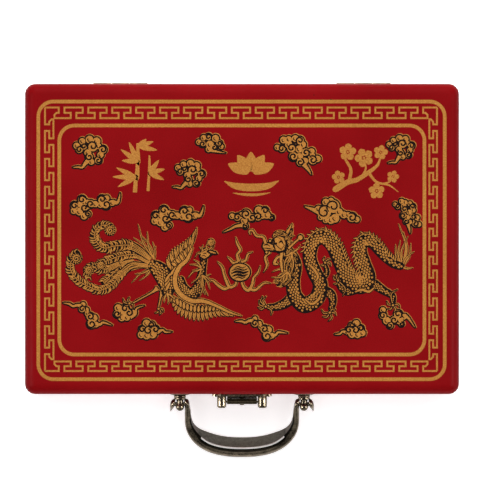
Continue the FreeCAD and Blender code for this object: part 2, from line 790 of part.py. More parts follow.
def bowed(start, end, bulge):
    """An arc from start to end in the YZ plane, its middle pushed out to the left of the way."""
    way = end - start
    middle = (start + end) * 0.5 + FreeCAD.Vector(0, -way.z, way.y) * bulge
    return Part.Arc(start, middle, end).toShape()


def claw_ear(x_start):
    """One ear of the fork: a round eye with a hooked tail, cut from plate."""
    eye = value("ear_wide / 2")
    low = value("web_low")
    throat, heel, toe, tip, crook, top = [
        FreeCAD.Vector(x_start, -out, up) for out, up in (
            (-0.15 * eye, -eye), (0.85 * eye, -low), (1.7 * eye, -low),
            (2.35 * eye, -1.02 * eye), (1.55 * eye, -0.85 * eye), (0.9 * eye, 0.44 * eye))]
    outline = [
        bowed(throat, heel, HOLLOW_CURVE),
        Part.makeLine(heel, toe),
        bowed(toe, tip, -HOLLOW_CURVE),
        bowed(tip, crook, -HOLLOW_CURVE),
        Part.makeLine(crook, top),
        Part.makeLine(top, throat),
    ]
    thick = value("ear_thick")
    tail = Part.Face(Part.Wire(outline)).extrude(FreeCAD.Vector(thick, 0, 0))
    disc = Part.makeCylinder(eye, thick, FreeCAD.Vector(x_start, 0, 0), FreeCAD.Vector(1, 0, 0))
    return tail.fuse(disc)


def handle_shape():
    """The whole cast handle, lying flat with its pivot axis on X and its grip towards -Y."""
    half_stations = bail_stations()
    mirrored = [(station, -1) for station in half_stations[:-1]]
    opposite = [(station, 1) for station in reversed(half_stations)]
    run = mirrored + opposite
    strap = Part.makeLoft([bail_section(station, side, 0.0) for station, side in run], True, True)
    first = LEG_STATIONS + HOLLOW_FIRST
    hollow_run = run[first:len(run) - first]
    wall = value("grip_wall")
    hollow = Part.makeLoft([bail_section(station, side, wall) for station, side in hollow_run], True, True)
    solid = strap.cut(hollow)
    half_gap, ear = value("fork_gap / 2"), value("ear_thick")
    web_low, web_thick, eye = value("web_low"), value("web_thick"), value("ear_wide / 2")
    for side in (-1, 1):
        axis_x = side * value("handle_pair_wide / 2")
        web = Part.makeBox(2 * half_gap + ear, 0.8 * eye, web_thick,
                           FreeCAD.Vector(axis_x - half_gap - ear / 2, -1.65 * eye, -web_low))
        solid = solid.fuse([claw_ear(axis_x - half_gap - ear), claw_ear(axis_x + half_gap), web])
        pin_hole = Part.makeCylinder(value("handle_pin / 2 + running_fit"), 2 * (half_gap + ear) + 2,
                                     FreeCAD.Vector(axis_x - half_gap - ear - 1, 0, 0),
                                     FreeCAD.Vector(1, 0, 0))
        solid = solid.cut(pin_hole)
    return solid.removeSplitter()


bail = doc.addObject("Part::Feature", "bail")
bail.Shape = handle_shape()
bail.Placement = FreeCAD.Placement(
    FreeCAD.Vector(0, -value("half_deep + handle_reach"), value("handle_pivot_high")),
    FreeCAD.Rotation(FreeCAD.Vector(1, 0, 0), value("handle_droop")))
node(bail, "handle_bail")


# ---------------------------------------------------------------- latch on the lid

def shaped_plate(name, wide, high, thick):
    """A wall plate with hollow-cut corners and a round lobe for a nail at each end."""
    body = new_body(name)
    face = new_sketch(body, name + "_face", "XZ_Plane")
    neck = f"({wide} / 2 - 1.6 * plate_lobe)"
    shoulder = f"({neck} - 0.85 * plate_lobe)"
    hollow = f"({neck} - 0.15 * plate_lobe)"
    draw_outline(face, [
        (f"-{shoulder}", f"-{high} / 2"),
        (shoulder, f"-{high} / 2", hollow, f"-{high} * 0.27"),
        (neck, "-0.8 * plate_lobe", f"{wide} / 2", "0"),
        (neck, "0.8 * plate_lobe", hollow, f"{high} * 0.27"),
        (shoulder, f"{high} / 2"),
        (f"-{shoulder}", f"{high} / 2", f"-{hollow}", f"{high} * 0.27"),
        (f"-{neck}", "0.8 * plate_lobe", f"-{wide} / 2", "0"),
        (f"-{neck}", "-0.8 * plate_lobe", f"-{hollow}", f"-{high} * 0.27"),
    ])
    pad(body, name + "_pad", face, thick)
    return body


latch_plate = shaped_plate("latch_plate_blank", "latch_plate_wide", "latch_plate_high", "latch_plate_thick")
seat(latch_plate, "0", "-half_deep", "latch_z")
plate_tail_holes = [rod(f"{side_name}_plate_hole", (f"{side} * latch_pair_wide / 2",
                                                    "-half_deep - latch_plate_thick", "latch_z"),
                        "y", "latch_post_tail / 2", "latch_plate_thick") for side_name, side in SIDES]
node(cut("latch_plate_drilled", latch_plate, plate_tail_holes + [latch_nails]), "latch_plate")

hasp_rod = node(rod("hasp_rod", ("-latch_pair_wide / 2", "-half_deep - hasp_axis_reach", "latch_z"), "x",
                    "hasp_pin / 2", "latch_pair_wide"), "hasp_pin")


def latch_post(name):
    """A barrel-shaped post with a tail riveted through the plate into the lid."""
    body = new_body(name)
    half = new_sketch(body, name + "_half", "XY_Plane")
    draw_outline(half, [
        ("0", "latch_tail_long"),
        ("0", "-latch_post_reach"),
        ("latch_post_wide * 0.34", "-latch_post_reach"),
        ("latch_post_wide * 0.45", "latch_post_wide * 0.15 - latch_post_reach"),
        ("latch_post_wide / 2", "-(latch_post_reach + latch_plate_thick) * 0.45"),
        ("latch_post_wide * 0.46", "-latch_plate_thick"),
        ("latch_post_tail / 2", "-latch_plate_thick"),
        ("latch_post_tail / 2", "latch_tail_long"),
    ])
    turn(body, name + "_turned", half)
    return body


for side_name, side in SIDES:
    post = latch_post(f"{side_name}_latch_turning")
    seat(post, f"{side} * latch_pair_wide / 2", "-half_deep", "latch_z")
    node(cut(f"{side_name}_latch_drilled", post, [hasp_rod]), f"{side_name}_latch_post")


# ---------------------------------------------------------------- hasp

def swing_hasp():
    """The hanging plate with its barrel at the top, a slot for the knob and a finger lip.

    Its origin is on the pin, and the plate hangs behind the pin, next to the wall.
    """
    body = new_body("hasp_body")
    side = new_sketch(body, "hasp_side", "YZ_Plane")
    draw_outline(side, [
        ("hasp_back", "hasp_top"),
        ("hasp_face", "hasp_top"),
        ("hasp_face", "hasp_lip - hasp_long",
         "hasp_face - hasp_lip * 0.3", "hasp_lip * 0.3 - hasp_long"),
        ("hasp_face - hasp_lip", "-hasp_long"),
        ("hasp_face - hasp_lip", "-hasp_long - hasp_thick",
         "hasp_back - hasp_lip * 0.3", "-hasp_long - hasp_thick + hasp_lip * 0.3"),
        ("hasp_back", "hasp_lip - hasp_long"),
    ])
    pad(body, "hasp_plate", side, "hasp_wide", midplane=True)
    barrel = new_sketch(body, "hasp_barrel_end", "YZ_Plane")
    draw_circle(barrel, "0", "0", "hasp_barrel / 2")
    pad(body, "hasp_barrel_roll", barrel, "hasp_barrel_long", midplane=True)
    bore = new_sketch(body, "hasp_bore", "YZ_Plane")
    draw_circle(bore, "0", "0", "hasp_pin / 2 + running_fit")
    pocket(body, "hasp_pin_hole", bore, "hasp_wide + 2", midplane=True)
    front = new_sketch(body, "hasp_front", "XZ_Plane")
    slot_half = "(knob_wide / 2 + hasp_slot_gap)"
    slot_straight = "(knob_long / 2 + hasp_slot_gap - knob_wide / 2 - hasp_slot_gap)"
    draw_outline(front, [
        (f"-{slot_half}", f"-knob_drop - {slot_straight}", "0", f"-knob_drop - {slot_straight} - {slot_half}"),
        (slot_half, f"-knob_drop - {slot_straight}"),
        (slot_half, f"{slot_straight} - knob_drop", "0", f"{slot_straight} + {slot_half} - knob_drop"),
        (f"-{slot_half}", f"{slot_straight} - knob_drop"),
    ])
    pocket(body, "hasp_slot", front, "4 * hasp_back", midplane=True)
    trim = new_sketch(body, "hasp_trim", "XZ_Plane")
    for sign in ("-1", "1"):
        draw_outline(trim, [
            (f"{sign} * (hasp_wide / 2 + 1)", "-hasp_long * 0.42"),
            (f"{sign} * hasp_wide / 2", "-hasp_long * 0.42",
             f"{sign} * hasp_wide * 0.46", "-hasp_long * 0.76"),
            (f"{sign} * hasp_wide * 0.26", "-hasp_long - 2 * hasp_thick"),
            (f"{sign} * (hasp_wide / 2 + 1)", "-hasp_long - 2 * hasp_thick"),
        ])
    pocket(body, "hasp_taper", trim, "4 * hasp_back", midplane=True)
    return body


hasp = swing_hasp()
seat(hasp, "0", "-half_deep - hasp_axis_reach", "latch_z")
node(hasp, "hasp")


# ---------------------------------------------------------------- catch on the base

catch_plate = shaped_plate("catch_plate_blank", "catch_plate_wide", "catch_plate_high", "catch_plate_thick")
seat(catch_plate, "0", "-half_deep", "knob_z")
stem_hole = rod("stem_hole", ("0", "-half_deep - catch_plate_thick - 1", "knob_z"), "y",
                "knob_stem / 2 + running_fit", "catch_plate_thick + 2")
node(cut("catch_plate_drilled", catch_plate, [stem_hole, catch_nails]), "catch_plate")


def turn_knob():
    """An oval knob on a stem that is riveted loosely through the catch plate."""
    body = new_body("knob_body")
    oval = new_sketch(body, "knob_oval", "XZ_Plane", "knob_reach - knob_thick")
    straight = "(knob_long - knob_wide) / 2"
    draw_outline(oval, [
        ("-knob_wide / 2", f"-{straight}", "0", "-knob_long / 2"),
        ("knob_wide / 2", f"-{straight}"),
        ("knob_wide / 2", straight, "0", "knob_long / 2"),
        ("-knob_wide / 2", straight),
    ])
    pad(body, "knob_head", oval, "knob_thick")
    front = -value("knob_reach")
    ease_edges(body, "knob_bevel", "Chamfer", "knob_wide / 4",
               lambda edge: edge.BoundBox.YMax < front + TOUCHING)
    stem = new_sketch(body, "knob_stem_end", "XZ_Plane")
    draw_circle(stem, "0", "0", "knob_stem / 2")
    pad(body, "knob_stem_pad", stem, "knob_reach - knob_thick")
    rivet = new_sketch(body, "knob_rivet", "XZ_Plane", "-moving_gap / 3")
    draw_circle(rivet, "0", "0", "knob_flange / 2")
    pad(body, "knob_flange_pad", rivet, "knob_flange_thick", backwards=True)
    neck = new_sketch(body, "knob_neck", "XZ_Plane", "-knob_flange_thick")
    draw_circle(neck, "0", "0", "knob_stem / 2")
    pad(body, "knob_neck_pad", neck, "knob_flange_thick + knob_reach - knob_thick")
    return body


knob = turn_knob()
seat(knob, "0", "-half_deep", "knob_z")
node(knob, "turn_knob")


# ---------------------------------------------------------------- check and write

doc.recompute()
for item in doc.Objects:
    if {"Invalid", "Error"} & set(item.State):
        raise RuntimeError(f"{item.Label} did not compute: {item.State}")
for piece in NODES:
    if piece.Shape.isNull() or not piece.Shape.isValid() or not piece.Shape.Solids:
        raise RuntimeError(f"{piece.Label} has no valid solid")
for piece in NODES:
    piece.Shape.exportStep(f"parts/{piece.Label}.step")
print(f"wrote {len(NODES)} sub-parts")
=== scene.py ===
"""The looks of a leatherette-covered mahjong case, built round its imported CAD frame."""

import json
import math
import random

import bmesh
import bpy
import numpy as np
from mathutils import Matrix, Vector


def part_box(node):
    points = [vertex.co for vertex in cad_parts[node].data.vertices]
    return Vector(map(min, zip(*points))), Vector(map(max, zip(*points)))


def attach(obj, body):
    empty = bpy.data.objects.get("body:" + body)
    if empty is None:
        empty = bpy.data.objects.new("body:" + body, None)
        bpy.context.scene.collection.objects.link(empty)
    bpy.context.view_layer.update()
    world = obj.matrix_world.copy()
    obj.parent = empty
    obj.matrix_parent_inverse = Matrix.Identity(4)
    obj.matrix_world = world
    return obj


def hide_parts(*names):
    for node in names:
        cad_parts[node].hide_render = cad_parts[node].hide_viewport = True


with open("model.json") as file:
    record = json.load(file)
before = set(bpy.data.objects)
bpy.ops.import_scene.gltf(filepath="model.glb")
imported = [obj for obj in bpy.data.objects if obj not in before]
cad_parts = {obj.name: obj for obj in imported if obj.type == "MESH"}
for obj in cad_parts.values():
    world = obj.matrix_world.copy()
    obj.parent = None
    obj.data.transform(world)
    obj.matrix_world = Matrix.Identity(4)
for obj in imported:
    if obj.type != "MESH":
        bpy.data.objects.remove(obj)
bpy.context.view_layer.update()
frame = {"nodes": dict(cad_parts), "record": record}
NODES = frame["nodes"]
MM = 0.001
random.seed(8)


# ---------------------------------------------------------------- sizes, in millimetres

def span(node):
    """The lowest and highest corner of a CAD node, in millimetres."""
    low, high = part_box(node)
    return low / MM, high / MM


LID_LOW, LID_HIGH = span("lid_wrap")
BASE_LOW, BASE_HIGH = span("base_wrap")
HALF_WIDE = LID_HIGH.x
HALF_DEEP = LID_HIGH.y
LID_TOP = LID_HIGH.z
WELL_INSET = HALF_WIDE - span("base_floor_lining")[1].x
# The radius of the case's corners seen from above, and of the roll round the lid's top.
CORNER = 8.4
LID_ROLL = 8.4
SIDES = (("left", -1), ("right", 1))


def clamp(amount):
    return min(1.0, max(0.0, amount))


# ---------------------------------------------------------------- materials

# A wave texture at scale 1 has about this many bands in a metre.
WAVE_BANDS = 3.2


class Look:
    """A node material with helpers that keep each recipe short."""

    def __init__(self, name, roughness, metallic=0.0, **sockets):
        self.material = bpy.data.materials.new(name)
        self.material.use_nodes = True
        self.tree = self.material.node_tree
        self.shader = self.tree.nodes["Principled BSDF"]
        self.shader.inputs["Roughness"].default_value = roughness
        self.shader.inputs["Metallic"].default_value = metallic
        for socket, amount in sockets.items():
            self.shader.inputs[socket.replace("_", " ")].default_value = amount
        self.place = self.node("ShaderNodeTexCoord").outputs["Object"]
        self.last_bump = None

    def node(self, kind, **settings):
        node = self.tree.nodes.new(kind)
        for name, setting in settings.items():
            setattr(node, name, setting)
        return node

    def link(self, output, socket):
        self.tree.links.new(output, socket)

    def noise(self, size, detail=3.0, roughness=0.55, stretch=None):
        """Noise whose blobs are about size millimetres across."""
        texture = self.node("ShaderNodeTexNoise")
        texture.inputs["Scale"].default_value = 1 / (size * MM)
        texture.inputs["Detail"].default_value = detail
        texture.inputs["Roughness"].default_value = roughness
        self.link(self.stretched(stretch), texture.inputs["Vector"])
        return texture.outputs["Fac"]

    def cells(self, size):
        """The distance to the middle of cells about size millimetres across."""
        texture = self.node("ShaderNodeTexVoronoi")
        texture.inputs["Scale"].default_value = 1 / (size * MM)
        self.link(self.place, texture.inputs["Vector"])
        return texture.outputs["Distance"]

    def bands(self, size, direction, distortion=0.0):
        """Waves that repeat about every size millimetres along an axis."""
        texture = self.node("ShaderNodeTexWave", bands_direction=direction)
        texture.inputs["Scale"].default_value = 1 / (size * MM) / WAVE_BANDS
        texture.inputs["Distortion"].default_value = distortion
        self.link(self.place, texture.inputs["Vector"])
        return texture.outputs["Fac"]

    def stretched(self, stretch):
        if stretch is None:
            return self.place
        mapping = self.node("ShaderNodeMapping")
        mapping.inputs["Scale"].default_value = stretch
        self.link(self.place, mapping.inputs["Vector"])
        return mapping.outputs["Vector"]

    def ramp(self, factor, tones, places=(0.3, 0.7)):
        """A colour ramp with a colour or a grey at each place."""
        ramp = self.node("ShaderNodeValToRGB")
        elements = ramp.color_ramp.elements
        while len(elements) < len(tones):
            elements.new(0.5)
        for element, place, tone in zip(elements, places, tones):
            element.position = place
            element.color = (tone,) * 3 + (1,) if isinstance(tone, float) else (*tone, 1)
        self.link(factor, ramp.inputs["Fac"])
        return ramp.outputs["Color"]

    def mix(self, first, second, factor, blend="MIX"):
        mixer = self.node("ShaderNodeMix", data_type="RGBA", blend_type=blend)
        for value, socket in ((first, mixer.inputs["A"]), (second, mixer.inputs["B"]),
                              (factor, mixer.inputs["Factor"])):
            if isinstance(value, bpy.types.NodeSocket):
                self.link(value, socket)
            elif isinstance(value, tuple):
                socket.default_value = (*value, 1)
            else:
                socket.default_value = value
        return mixer.outputs["Result"]

    def colour(self, output):
        self.link(output, self.shader.inputs["Base Color"])

    def rough(self, factor, low, high):
        self.link(self.ramp(factor, (low, high)), self.shader.inputs["Roughness"])

    def bump(self, height, depth, strength=1.0):
        """Relief of depth millimetres from a height map; several stack up."""
        bump = self.node("ShaderNodeBump")
        bump.inputs["Strength"].default_value = strength
        bump.inputs["Distance"].default_value = depth * MM
        self.link(height, bump.inputs["Height"])
        if self.last_bump is not None:
            self.link(self.last_bump, bump.inputs["Normal"])
        self.last_bump = bump.outputs["Normal"]
        self.link(self.last_bump, self.shader.inputs["Normal"])


# Colours in linear red, green and blue, from the darkest to the lightest of a material.
RED_TONES = ((0.208, 0.0022, 0.0036), (0.258, 0.0036, 0.0054))
GOLD_TONES = ((0.36, 0.130, 0.020), (0.48, 0.195, 0.034), (0.64, 0.30, 0.062))
BLACK_TONES = ((0.003, 0.002, 0.002), (0.020, 0.008, 0.005))
BRONZE_TONES = ((0.066, 0.053, 0.037), (0.130, 0.104, 0.072), (0.25, 0.20, 0.14))
HASP_TONES = ((0.020, 0.015, 0.009), (0.046, 0.036, 0.022), (0.10, 0.08, 0.05))
CAST_TONES = ((0.125, 0.110, 0.088), (0.25, 0.22, 0.175))
RIM_HIGHLIGHT_TONES = ((0.80, 0.78, 0.74), (0.98, 0.97, 0.94))
DARK_REFLECTION_TONES = ((0.008, 0.007, 0.005), (0.030, 0.024, 0.017))
STEEL_TONES = ((0.34, 0.34, 0.33), (0.56, 0.56, 0.55))
VELVET_TONES = ((0.085, 0.003, 0.006), (0.20, 0.008, 0.014))
VELVET_SHEEN = (0.9, 0.25, 0.25, 1)
SILK_TONES = ((0.66, 0.36, 0.035), (0.76, 0.45, 0.06))
TRAY_TONES = ((0.56, 0.32, 0.045), (0.66, 0.40, 0.07))
UNDER_TONES = ((0.012, 0.011, 0.012), (0.028, 0.026, 0.027))
WOOD_TONES = ((0.30, 0.17, 0.085), (0.44, 0.28, 0.15), (0.55, 0.38, 0.22))
FLOOR_GREYS = (0.93, 0.95)
# The size of the leatherette's pores and the pitch of woven threads, in millimetres.
PORE = 0.9
THREAD = 0.45


def leatherette():
    look = Look("red_leatherette", 0.42, Specular_IOR_Level=0.02)
    tone = look.ramp(look.noise(70, detail=4), RED_TONES)
    pores = look.cells(PORE)
    look.colour(look.mix(tone, look.ramp(pores, (0.80, 1.0), (0.0, 0.5)), 0.35, "MULTIPLY"))
    look.rough(look.noise(9, detail=4), 0.36, 0.5)
    look.bump(look.noise(38, detail=2), 0.35, strength=0.35)
    look.bump(pores, 0.05, strength=0.5)
    look.bump(look.noise(0.35, detail=2), 0.02, strength=0.5)
    return look.material


def gold_ink():
    look = Look("gold_print", 0.5, Specular_IOR_Level=0.08)
    speck = look.noise(0.8, detail=5, roughness=0.7)
    tone = look.ramp(speck, GOLD_TONES, (0.32, 0.52, 0.72))
    broad = look.ramp(look.noise(60, detail=2), (0.88, 1.0))
    look.colour(look.mix(tone, broad, 1.0, "MULTIPLY"))
    look.bump(speck, 0.03, strength=0.4)
    return look.material


def speckled(name, roughness, tones, places, patches, grain, depth, strength=0.4, **settings):
    """A colour that wanders over patches and a fine relief; patches and grain are settings of a noise."""
    look = Look(name, roughness, **settings)
    look.colour(look.ramp(look.noise(*patches), tones, places))
    look.bump(look.noise(*grain), depth, strength)
    return look.material


def bronze(name, tones):
    """Antique bronze: dark in the hollows, rubbed to brown metal on the edges."""
    look = Look(name, 0.3, metallic=1.0)
    tone = look.ramp(look.noise(5, detail=5, roughness=0.6), tones, (0.34, 0.56, 0.76))
    cavity = look.node("ShaderNodeNewGeometry").outputs["Pointiness"]
    rubbed = look.ramp(cavity, (0.35, 1.0, 1.7), (0.46, 0.50, 0.56))
    look.colour(look.mix(tone, rubbed, 0.85, "MULTIPLY"))
    look.rough(look.noise(1.4, detail=4), 0.2, 0.4)
    look.bump(look.noise(1.1, detail=4), 0.05, strength=0.45)
    return look.material


def velvet():
    look = Look("crimson_velvet", 0.9, Sheen_Weight=0.8, Sheen_Roughness=0.35, Specular_IOR_Level=0.1)
    look.shader.inputs["Sheen Tint"].default_value = VELVET_SHEEN
    brushed = look.noise(14, detail=4, roughness=0.6)
    look.colour(look.ramp(brushed, VELVET_TONES, (0.32, 0.7)))
    look.bump(look.noise(0.3, roughness=0.7), 0.12, strength=0.7)
    look.bump(brushed, 0.25, strength=0.35)
    return look.material


def woven(name, tones, sheen, roughness=0.75):
    """A plain weave: threads along both axes of the sheet."""
    look = Look(name, roughness, Sheen_Weight=sheen, Specular_IOR_Level=0.25)
    weave = look.mix(look.bands(THREAD, "X", 0.4), look.bands(THREAD, "Y", 0.4), 0.5)
    tone = look.ramp(look.noise(12, detail=4), tones)
    look.colour(look.mix(tone, look.ramp(weave, (0.72, 1.0), (0.2, 0.8)), 0.6, "MULTIPLY"))
    look.bump(weave, 0.09, strength=0.7)
    return look.material


def silk():
    look = Look("gold_silk", 0.34, Sheen_Weight=0.3, Sheen_Roughness=0.3, Specular_IOR_Level=0.5)
    slub = look.noise(1.6, roughness=0.5, stretch=(1.0, 12.0, 1.0))
    tone = look.ramp(look.noise(26), SILK_TONES)
    look.colour(look.mix(tone, look.ramp(slub, (0.8, 1.05)), 0.7, "MULTIPLY"))
    look.bump(slub, 0.06, strength=0.5)
    return look.material


def wood():
    look = Look("board_wood", 0.6, Specular_IOR_Level=0.3)
    grain = look.noise(2.2, detail=5, roughness=0.65, stretch=(0.06, 1.0, 1.0))
    look.colour(look.ramp(grain, WOOD_TONES, (0.3, 0.5, 0.72)))
    look.bump(grain, 0.1, strength=0.4)
    return look.material


LEATHER = leatherette()
GOLD = gold_ink()
BLACK = speckled("black_print", 0.6, BLACK_TONES, (0.35, 0.75), (1.2, 4), (0.8, 3), 0.02,
                  Specular_IOR_Level=0.04)
BRONZE = bronze("antique_bronze", BRONZE_TONES)
HASP_BRONZE = bronze("hasp_bronze", HASP_TONES)
# The same plating left as cast, inside the grip's hollow.
ROUGH_BRONZE = speckled("rough_bronze", 0.7, CAST_TONES, (0.35, 0.7), (1.6, 5, 0.7), (0.7, 4), 0.12, 0.7,
                        Specular_IOR_Level=0.4)
# Painted highlight: the grip's rim is coloured near white to stand for a reflection of the bright floor.
RIM_HIGHLIGHT_BRONZE = speckled("rim_highlight_bronze", 0.4, RIM_HIGHLIGHT_TONES, (0.3, 0.7), (2.4, 4), (1.0, 3), 0.02,
                         metallic=0.25)
# Painted dark reflection: near-black bronze where the grip's top dips behind its rim, standing for the dark
# room seen in the metal.
DARK_REFLECTION_BRONZE = speckled("dark_reflection_bronze", 0.3, DARK_REFLECTION_TONES, (0.35, 0.75), (3, 5), (1.0, 4), 0.03, metallic=1.0)
STEEL = speckled("plain_steel", 0.35, STEEL_TONES, (0.3, 0.7), (2, 4), (0.7, 3), 0.02, metallic=1.0)
VELVET = velvet()
SILK = silk()
TRAY_CLOTH = woven("tray_cloth", TRAY_TONES, sheen=0.2, roughness=0.5)
UNDER_CLOTH = woven("underside_cloth", UNDER_TONES, sheen=0.1)
WOOD = wood()
SLOT_LOOKS = {
    "board_wood": WOOD, "red_leatherette": LEATHER, "underside_cloth": UNDER_CLOTH,
    "crimson_velvet": VELVET, "gold_silk": SILK, "tray_cloth": TRAY_CLOTH,
    "antique_bronze": BRONZE, "plain_steel": STEEL,
}
# Nodes that look different from the rest of their slot: the photo shows a nearly black hasp.
NODE_LOOKS = {"hasp": HASP_BRONZE}


# ---------------------------------------------------------------- mesh helpers

def piece(name, points, faces, look, body, smooth_angle=35):
    """A mesh piece from points in millimetres, which rides on a CAD body."""
    mesh = bpy.data.meshes.new(name)
    mesh.from_pydata([Vector(point) * MM for point in points], [], faces)
    mesh.materials.append(look)
    mesh.validate()
    shell = bmesh.new()
    shell.from_mesh(mesh)
    bmesh.ops.recalc_face_normals(shell, faces=shell.faces)
    shell.to_mesh(mesh)
    shell.free()
    mesh.polygons.foreach_set("use_smooth", [True] * len(mesh.polygons))
    mesh.set_sharp_from_angle(angle=math.radians(smooth_angle))
    item = bpy.data.objects.new(name, mesh)
    bpy.context.scene.collection.objects.link(item)
    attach(item, body)
    return item


def rounded_ring(half_x, half_y, radius, corner_steps=20, side_steps=(36, 26)):
    """Points anticlockwise round a rectangle with round corners."""
    points = []
    centres = ((half_x - radius, half_y - radius, 0), (radius - half_x, half_y - radius, 90),
               (radius - half_x, radius - half_y, 180), (half_x - radius, radius - half_y, 270))
    for index, (x, y, start) in enumerate(centres):
        for step in range(corner_steps + 1):
            angle = math.radians(start + 90 * step / corner_steps)
            points.append((x + radius * math.cos(angle), y + radius * math.sin(angle)))
        after_x, after_y, after_start = centres[(index + 1) % 4]
        angle = math.radians(after_start)
        ahead = (after_x + radius * math.cos(angle), after_y + radius * math.sin(angle))
        last = points[-1]
        steps = side_steps[index % 2]
        for step in range(1, steps):
            share = step / steps
            points.append((last[0] + (ahead[0] - last[0]) * share, last[1] + (ahead[1] - last[1]) * share))
    return points


def loft(rings, close_end=True):
    """Points and faces of a skin through rings with the same number of points."""
    count = len(rings[0])
    points = [point for ring in rings for point in ring]
    faces = []
    for row in range(len(rings) - 1):
        for index in range(count):
            after = (index + 1) % count
            faces.append((row * count + index, row * count + after,
                          (row + 1) * count + after, (row + 1) * count + index))
    if close_end:
        last = (len(rings) - 1) * count
        faces.append(tuple(range(last, last + count)))
    return points, faces


def closed_loft(rings):
    """A skin with both ends closed."""
    points, faces = loft(rings)
    faces.append(tuple(reversed(range(len(rings[0])))))
    return points, faces


# ---------------------------------------------------------------- leatherette skins

PLEAT_TURNS = (0.30, 0.5, 0.70)
PLEAT_HIGH = 0.30
PLEAT_WIDE = 0.045
# Where the leatherette turns over a rim: its radius, and how it goes on in under the velvet.
HEM_EDGE = 0.7
HEM_DEEP = 0.8
HEM_FOLD = 0.25
HEM_EASE = 0.3
# Heights of the lid's wall above its rim, and insets on its top, that carry a ring of points.
LID_WALL_HEIGHTS = (5, 11)
LID_TOP_STEPS = (1.2, 3, 6, 12, 20, 30, 42, 56)
BASE_WALL_SHARES = (0.12, 0.3, 0.5, 0.7, 0.85)
BASE_FOOT = 1.6
BASE_UNDER_INSETS = (6.0, 9.0)
# The lid's pleats start above its rim and fade out below its top; the base's start above its foot.
LID_PLEAT_START, LID_PLEAT_GROW = 6, 8
LID_PLEAT_END, LID_PLEAT_FADE = 0.4, 3
BASE_PLEAT_END, BASE_PLEAT_FADE = 14, 8
BASE_PLEAT = 0.8
BASE_PLEAT_INSET = 4


def pleat(turn):
    """How far the gathered folds at a corner stand out, for a turn from 0 to 1 round it."""
    return PLEAT_HIGH * sum(math.exp(-((turn - fold) / PLEAT_WIDE) ** 2) for fold in PLEAT_TURNS)


def skin_rings(profile, folds):
    """Rings for a profile of insets and heights; folds says how strong the pleats are there."""
    rings = []
    for inset, height in profile:
        radius = max(CORNER - inset, 0.5)
        outline = rounded_ring(HALF_WIDE - inset, HALF_DEEP - inset, radius)
        ring = []
        strength = folds(inset, height)
        for x, y in outline:
            corner_x = abs(x) - (HALF_WIDE - inset - radius)
            corner_y = abs(y) - (HALF_DEEP - inset - radius)
            lift = 0.0
            if corner_x > 0 and corner_y > 0 and strength:
                lift = pleat(math.atan2(corner_y, corner_x) / (math.pi / 2)) * strength
            out = Vector((math.copysign(max(corner_x, 0), x), math.copysign(max(corner_y, 0), y)))
            if out.length:
                out.normalize()
            out *= lift - PLEAT_HIGH * strength
            ring.append((x + out.x, y + out.y, height))
        rings.append(ring)
    return rings


def arc(centre_inset, centre_height, radius, start, end, steps):
    """Profile points on an arc; angles in degrees, 0 towards the outside and 90 up."""
    places = []
    for step in range(steps + 1):
        angle = math.radians(start + (end - start) * step / steps)
        places.append((centre_inset - radius * math.cos(angle), centre_height + radius * math.sin(angle)))
    return places


def hem(rim, way):
    """The profile where the leatherette turns over a rim; way is 1 where the board is above it, or -1."""
    under = [(WELL_INSET, rim + HEM_DEEP * way), (WELL_INSET, rim + HEM_FOLD * way),
             (WELL_INSET - HEM_EASE, rim)]
    return under + arc(HEM_EDGE, rim + HEM_EDGE * way, HEM_EDGE, -90 * way, 0, 4)


def lid_leather():
    rim = LID_LOW.z
    profile = hem(rim, 1)
    profile += [(0.0, rim + height) for height in LID_WALL_HEIGHTS]
    profile += arc(LID_ROLL, LID_TOP - LID_ROLL, LID_ROLL, 0, 90, 14)
    profile += [(LID_ROLL + step, LID_TOP) for step in LID_TOP_STEPS]

    def folds(_, height):
        wall = clamp((height - rim - LID_PLEAT_START) / LID_PLEAT_GROW)
        return wall * clamp((LID_TOP - LID_PLEAT_END - height) / LID_PLEAT_FADE)

    points, faces = loft(skin_rings(profile, folds))
    skin = piece("lid_leather", points, faces, LEATHER, "lid")
    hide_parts("lid_wrap")


def base_leather():
    rim, low = BASE_HIGH.z, BASE_LOW.z
    profile = hem(rim, -1)
    profile += [(0.0, rim - share * (rim - low)) for share in BASE_WALL_SHARES]
    profile += arc(BASE_FOOT, low + BASE_FOOT, BASE_FOOT, 0, -90, 6)
    profile += [(inset, low) for inset in BASE_UNDER_INSETS]

    def folds(inset, height):
        strength = BASE_PLEAT if inset < BASE_PLEAT_INSET else 0.0
        return clamp((low + BASE_PLEAT_END - height) / BASE_PLEAT_FADE) * strength

    points, faces = loft(skin_rings(profile, folds), close_end=False)
    skin = piece("base_leather", points, faces, LEATHER, "base")
    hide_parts("base_wrap")


# ---------------------------------------------------------------- printing kit

# Marks are painted in levels: a mark of a higher level covers those below it.  All in millimetres.
LEVEL = 0.0098
FIRST_LEVEL = 0.012
HAIR = 0.0004
HAIRS = 23
# How far a plate goes down into the lid.
PLATE_FOOT = 0.15
# How far black stands out round gold, and the gold halo round black.
LINE_GROWTH = 1.12
HALO_EDGE = 0.08
# How far the black and the halo have slipped in the printing.
BLACK_SLIP = (-0.1, -0.1)
HALO_SLIP = (0.27, 0.27)
THINNEST_STROKE = 0.02
# A grown stroke's ends are narrower, by this share.
END_SHARE = 0.6
# A thin line's ends are narrower, by this share.
LINE_END = 0.35
# Where two steps of a line all but turn back, the band isn't mitred; elsewhere the mitre is limited.
TURNED_BACK = 0.2
LEAST_MITRE = 0.6


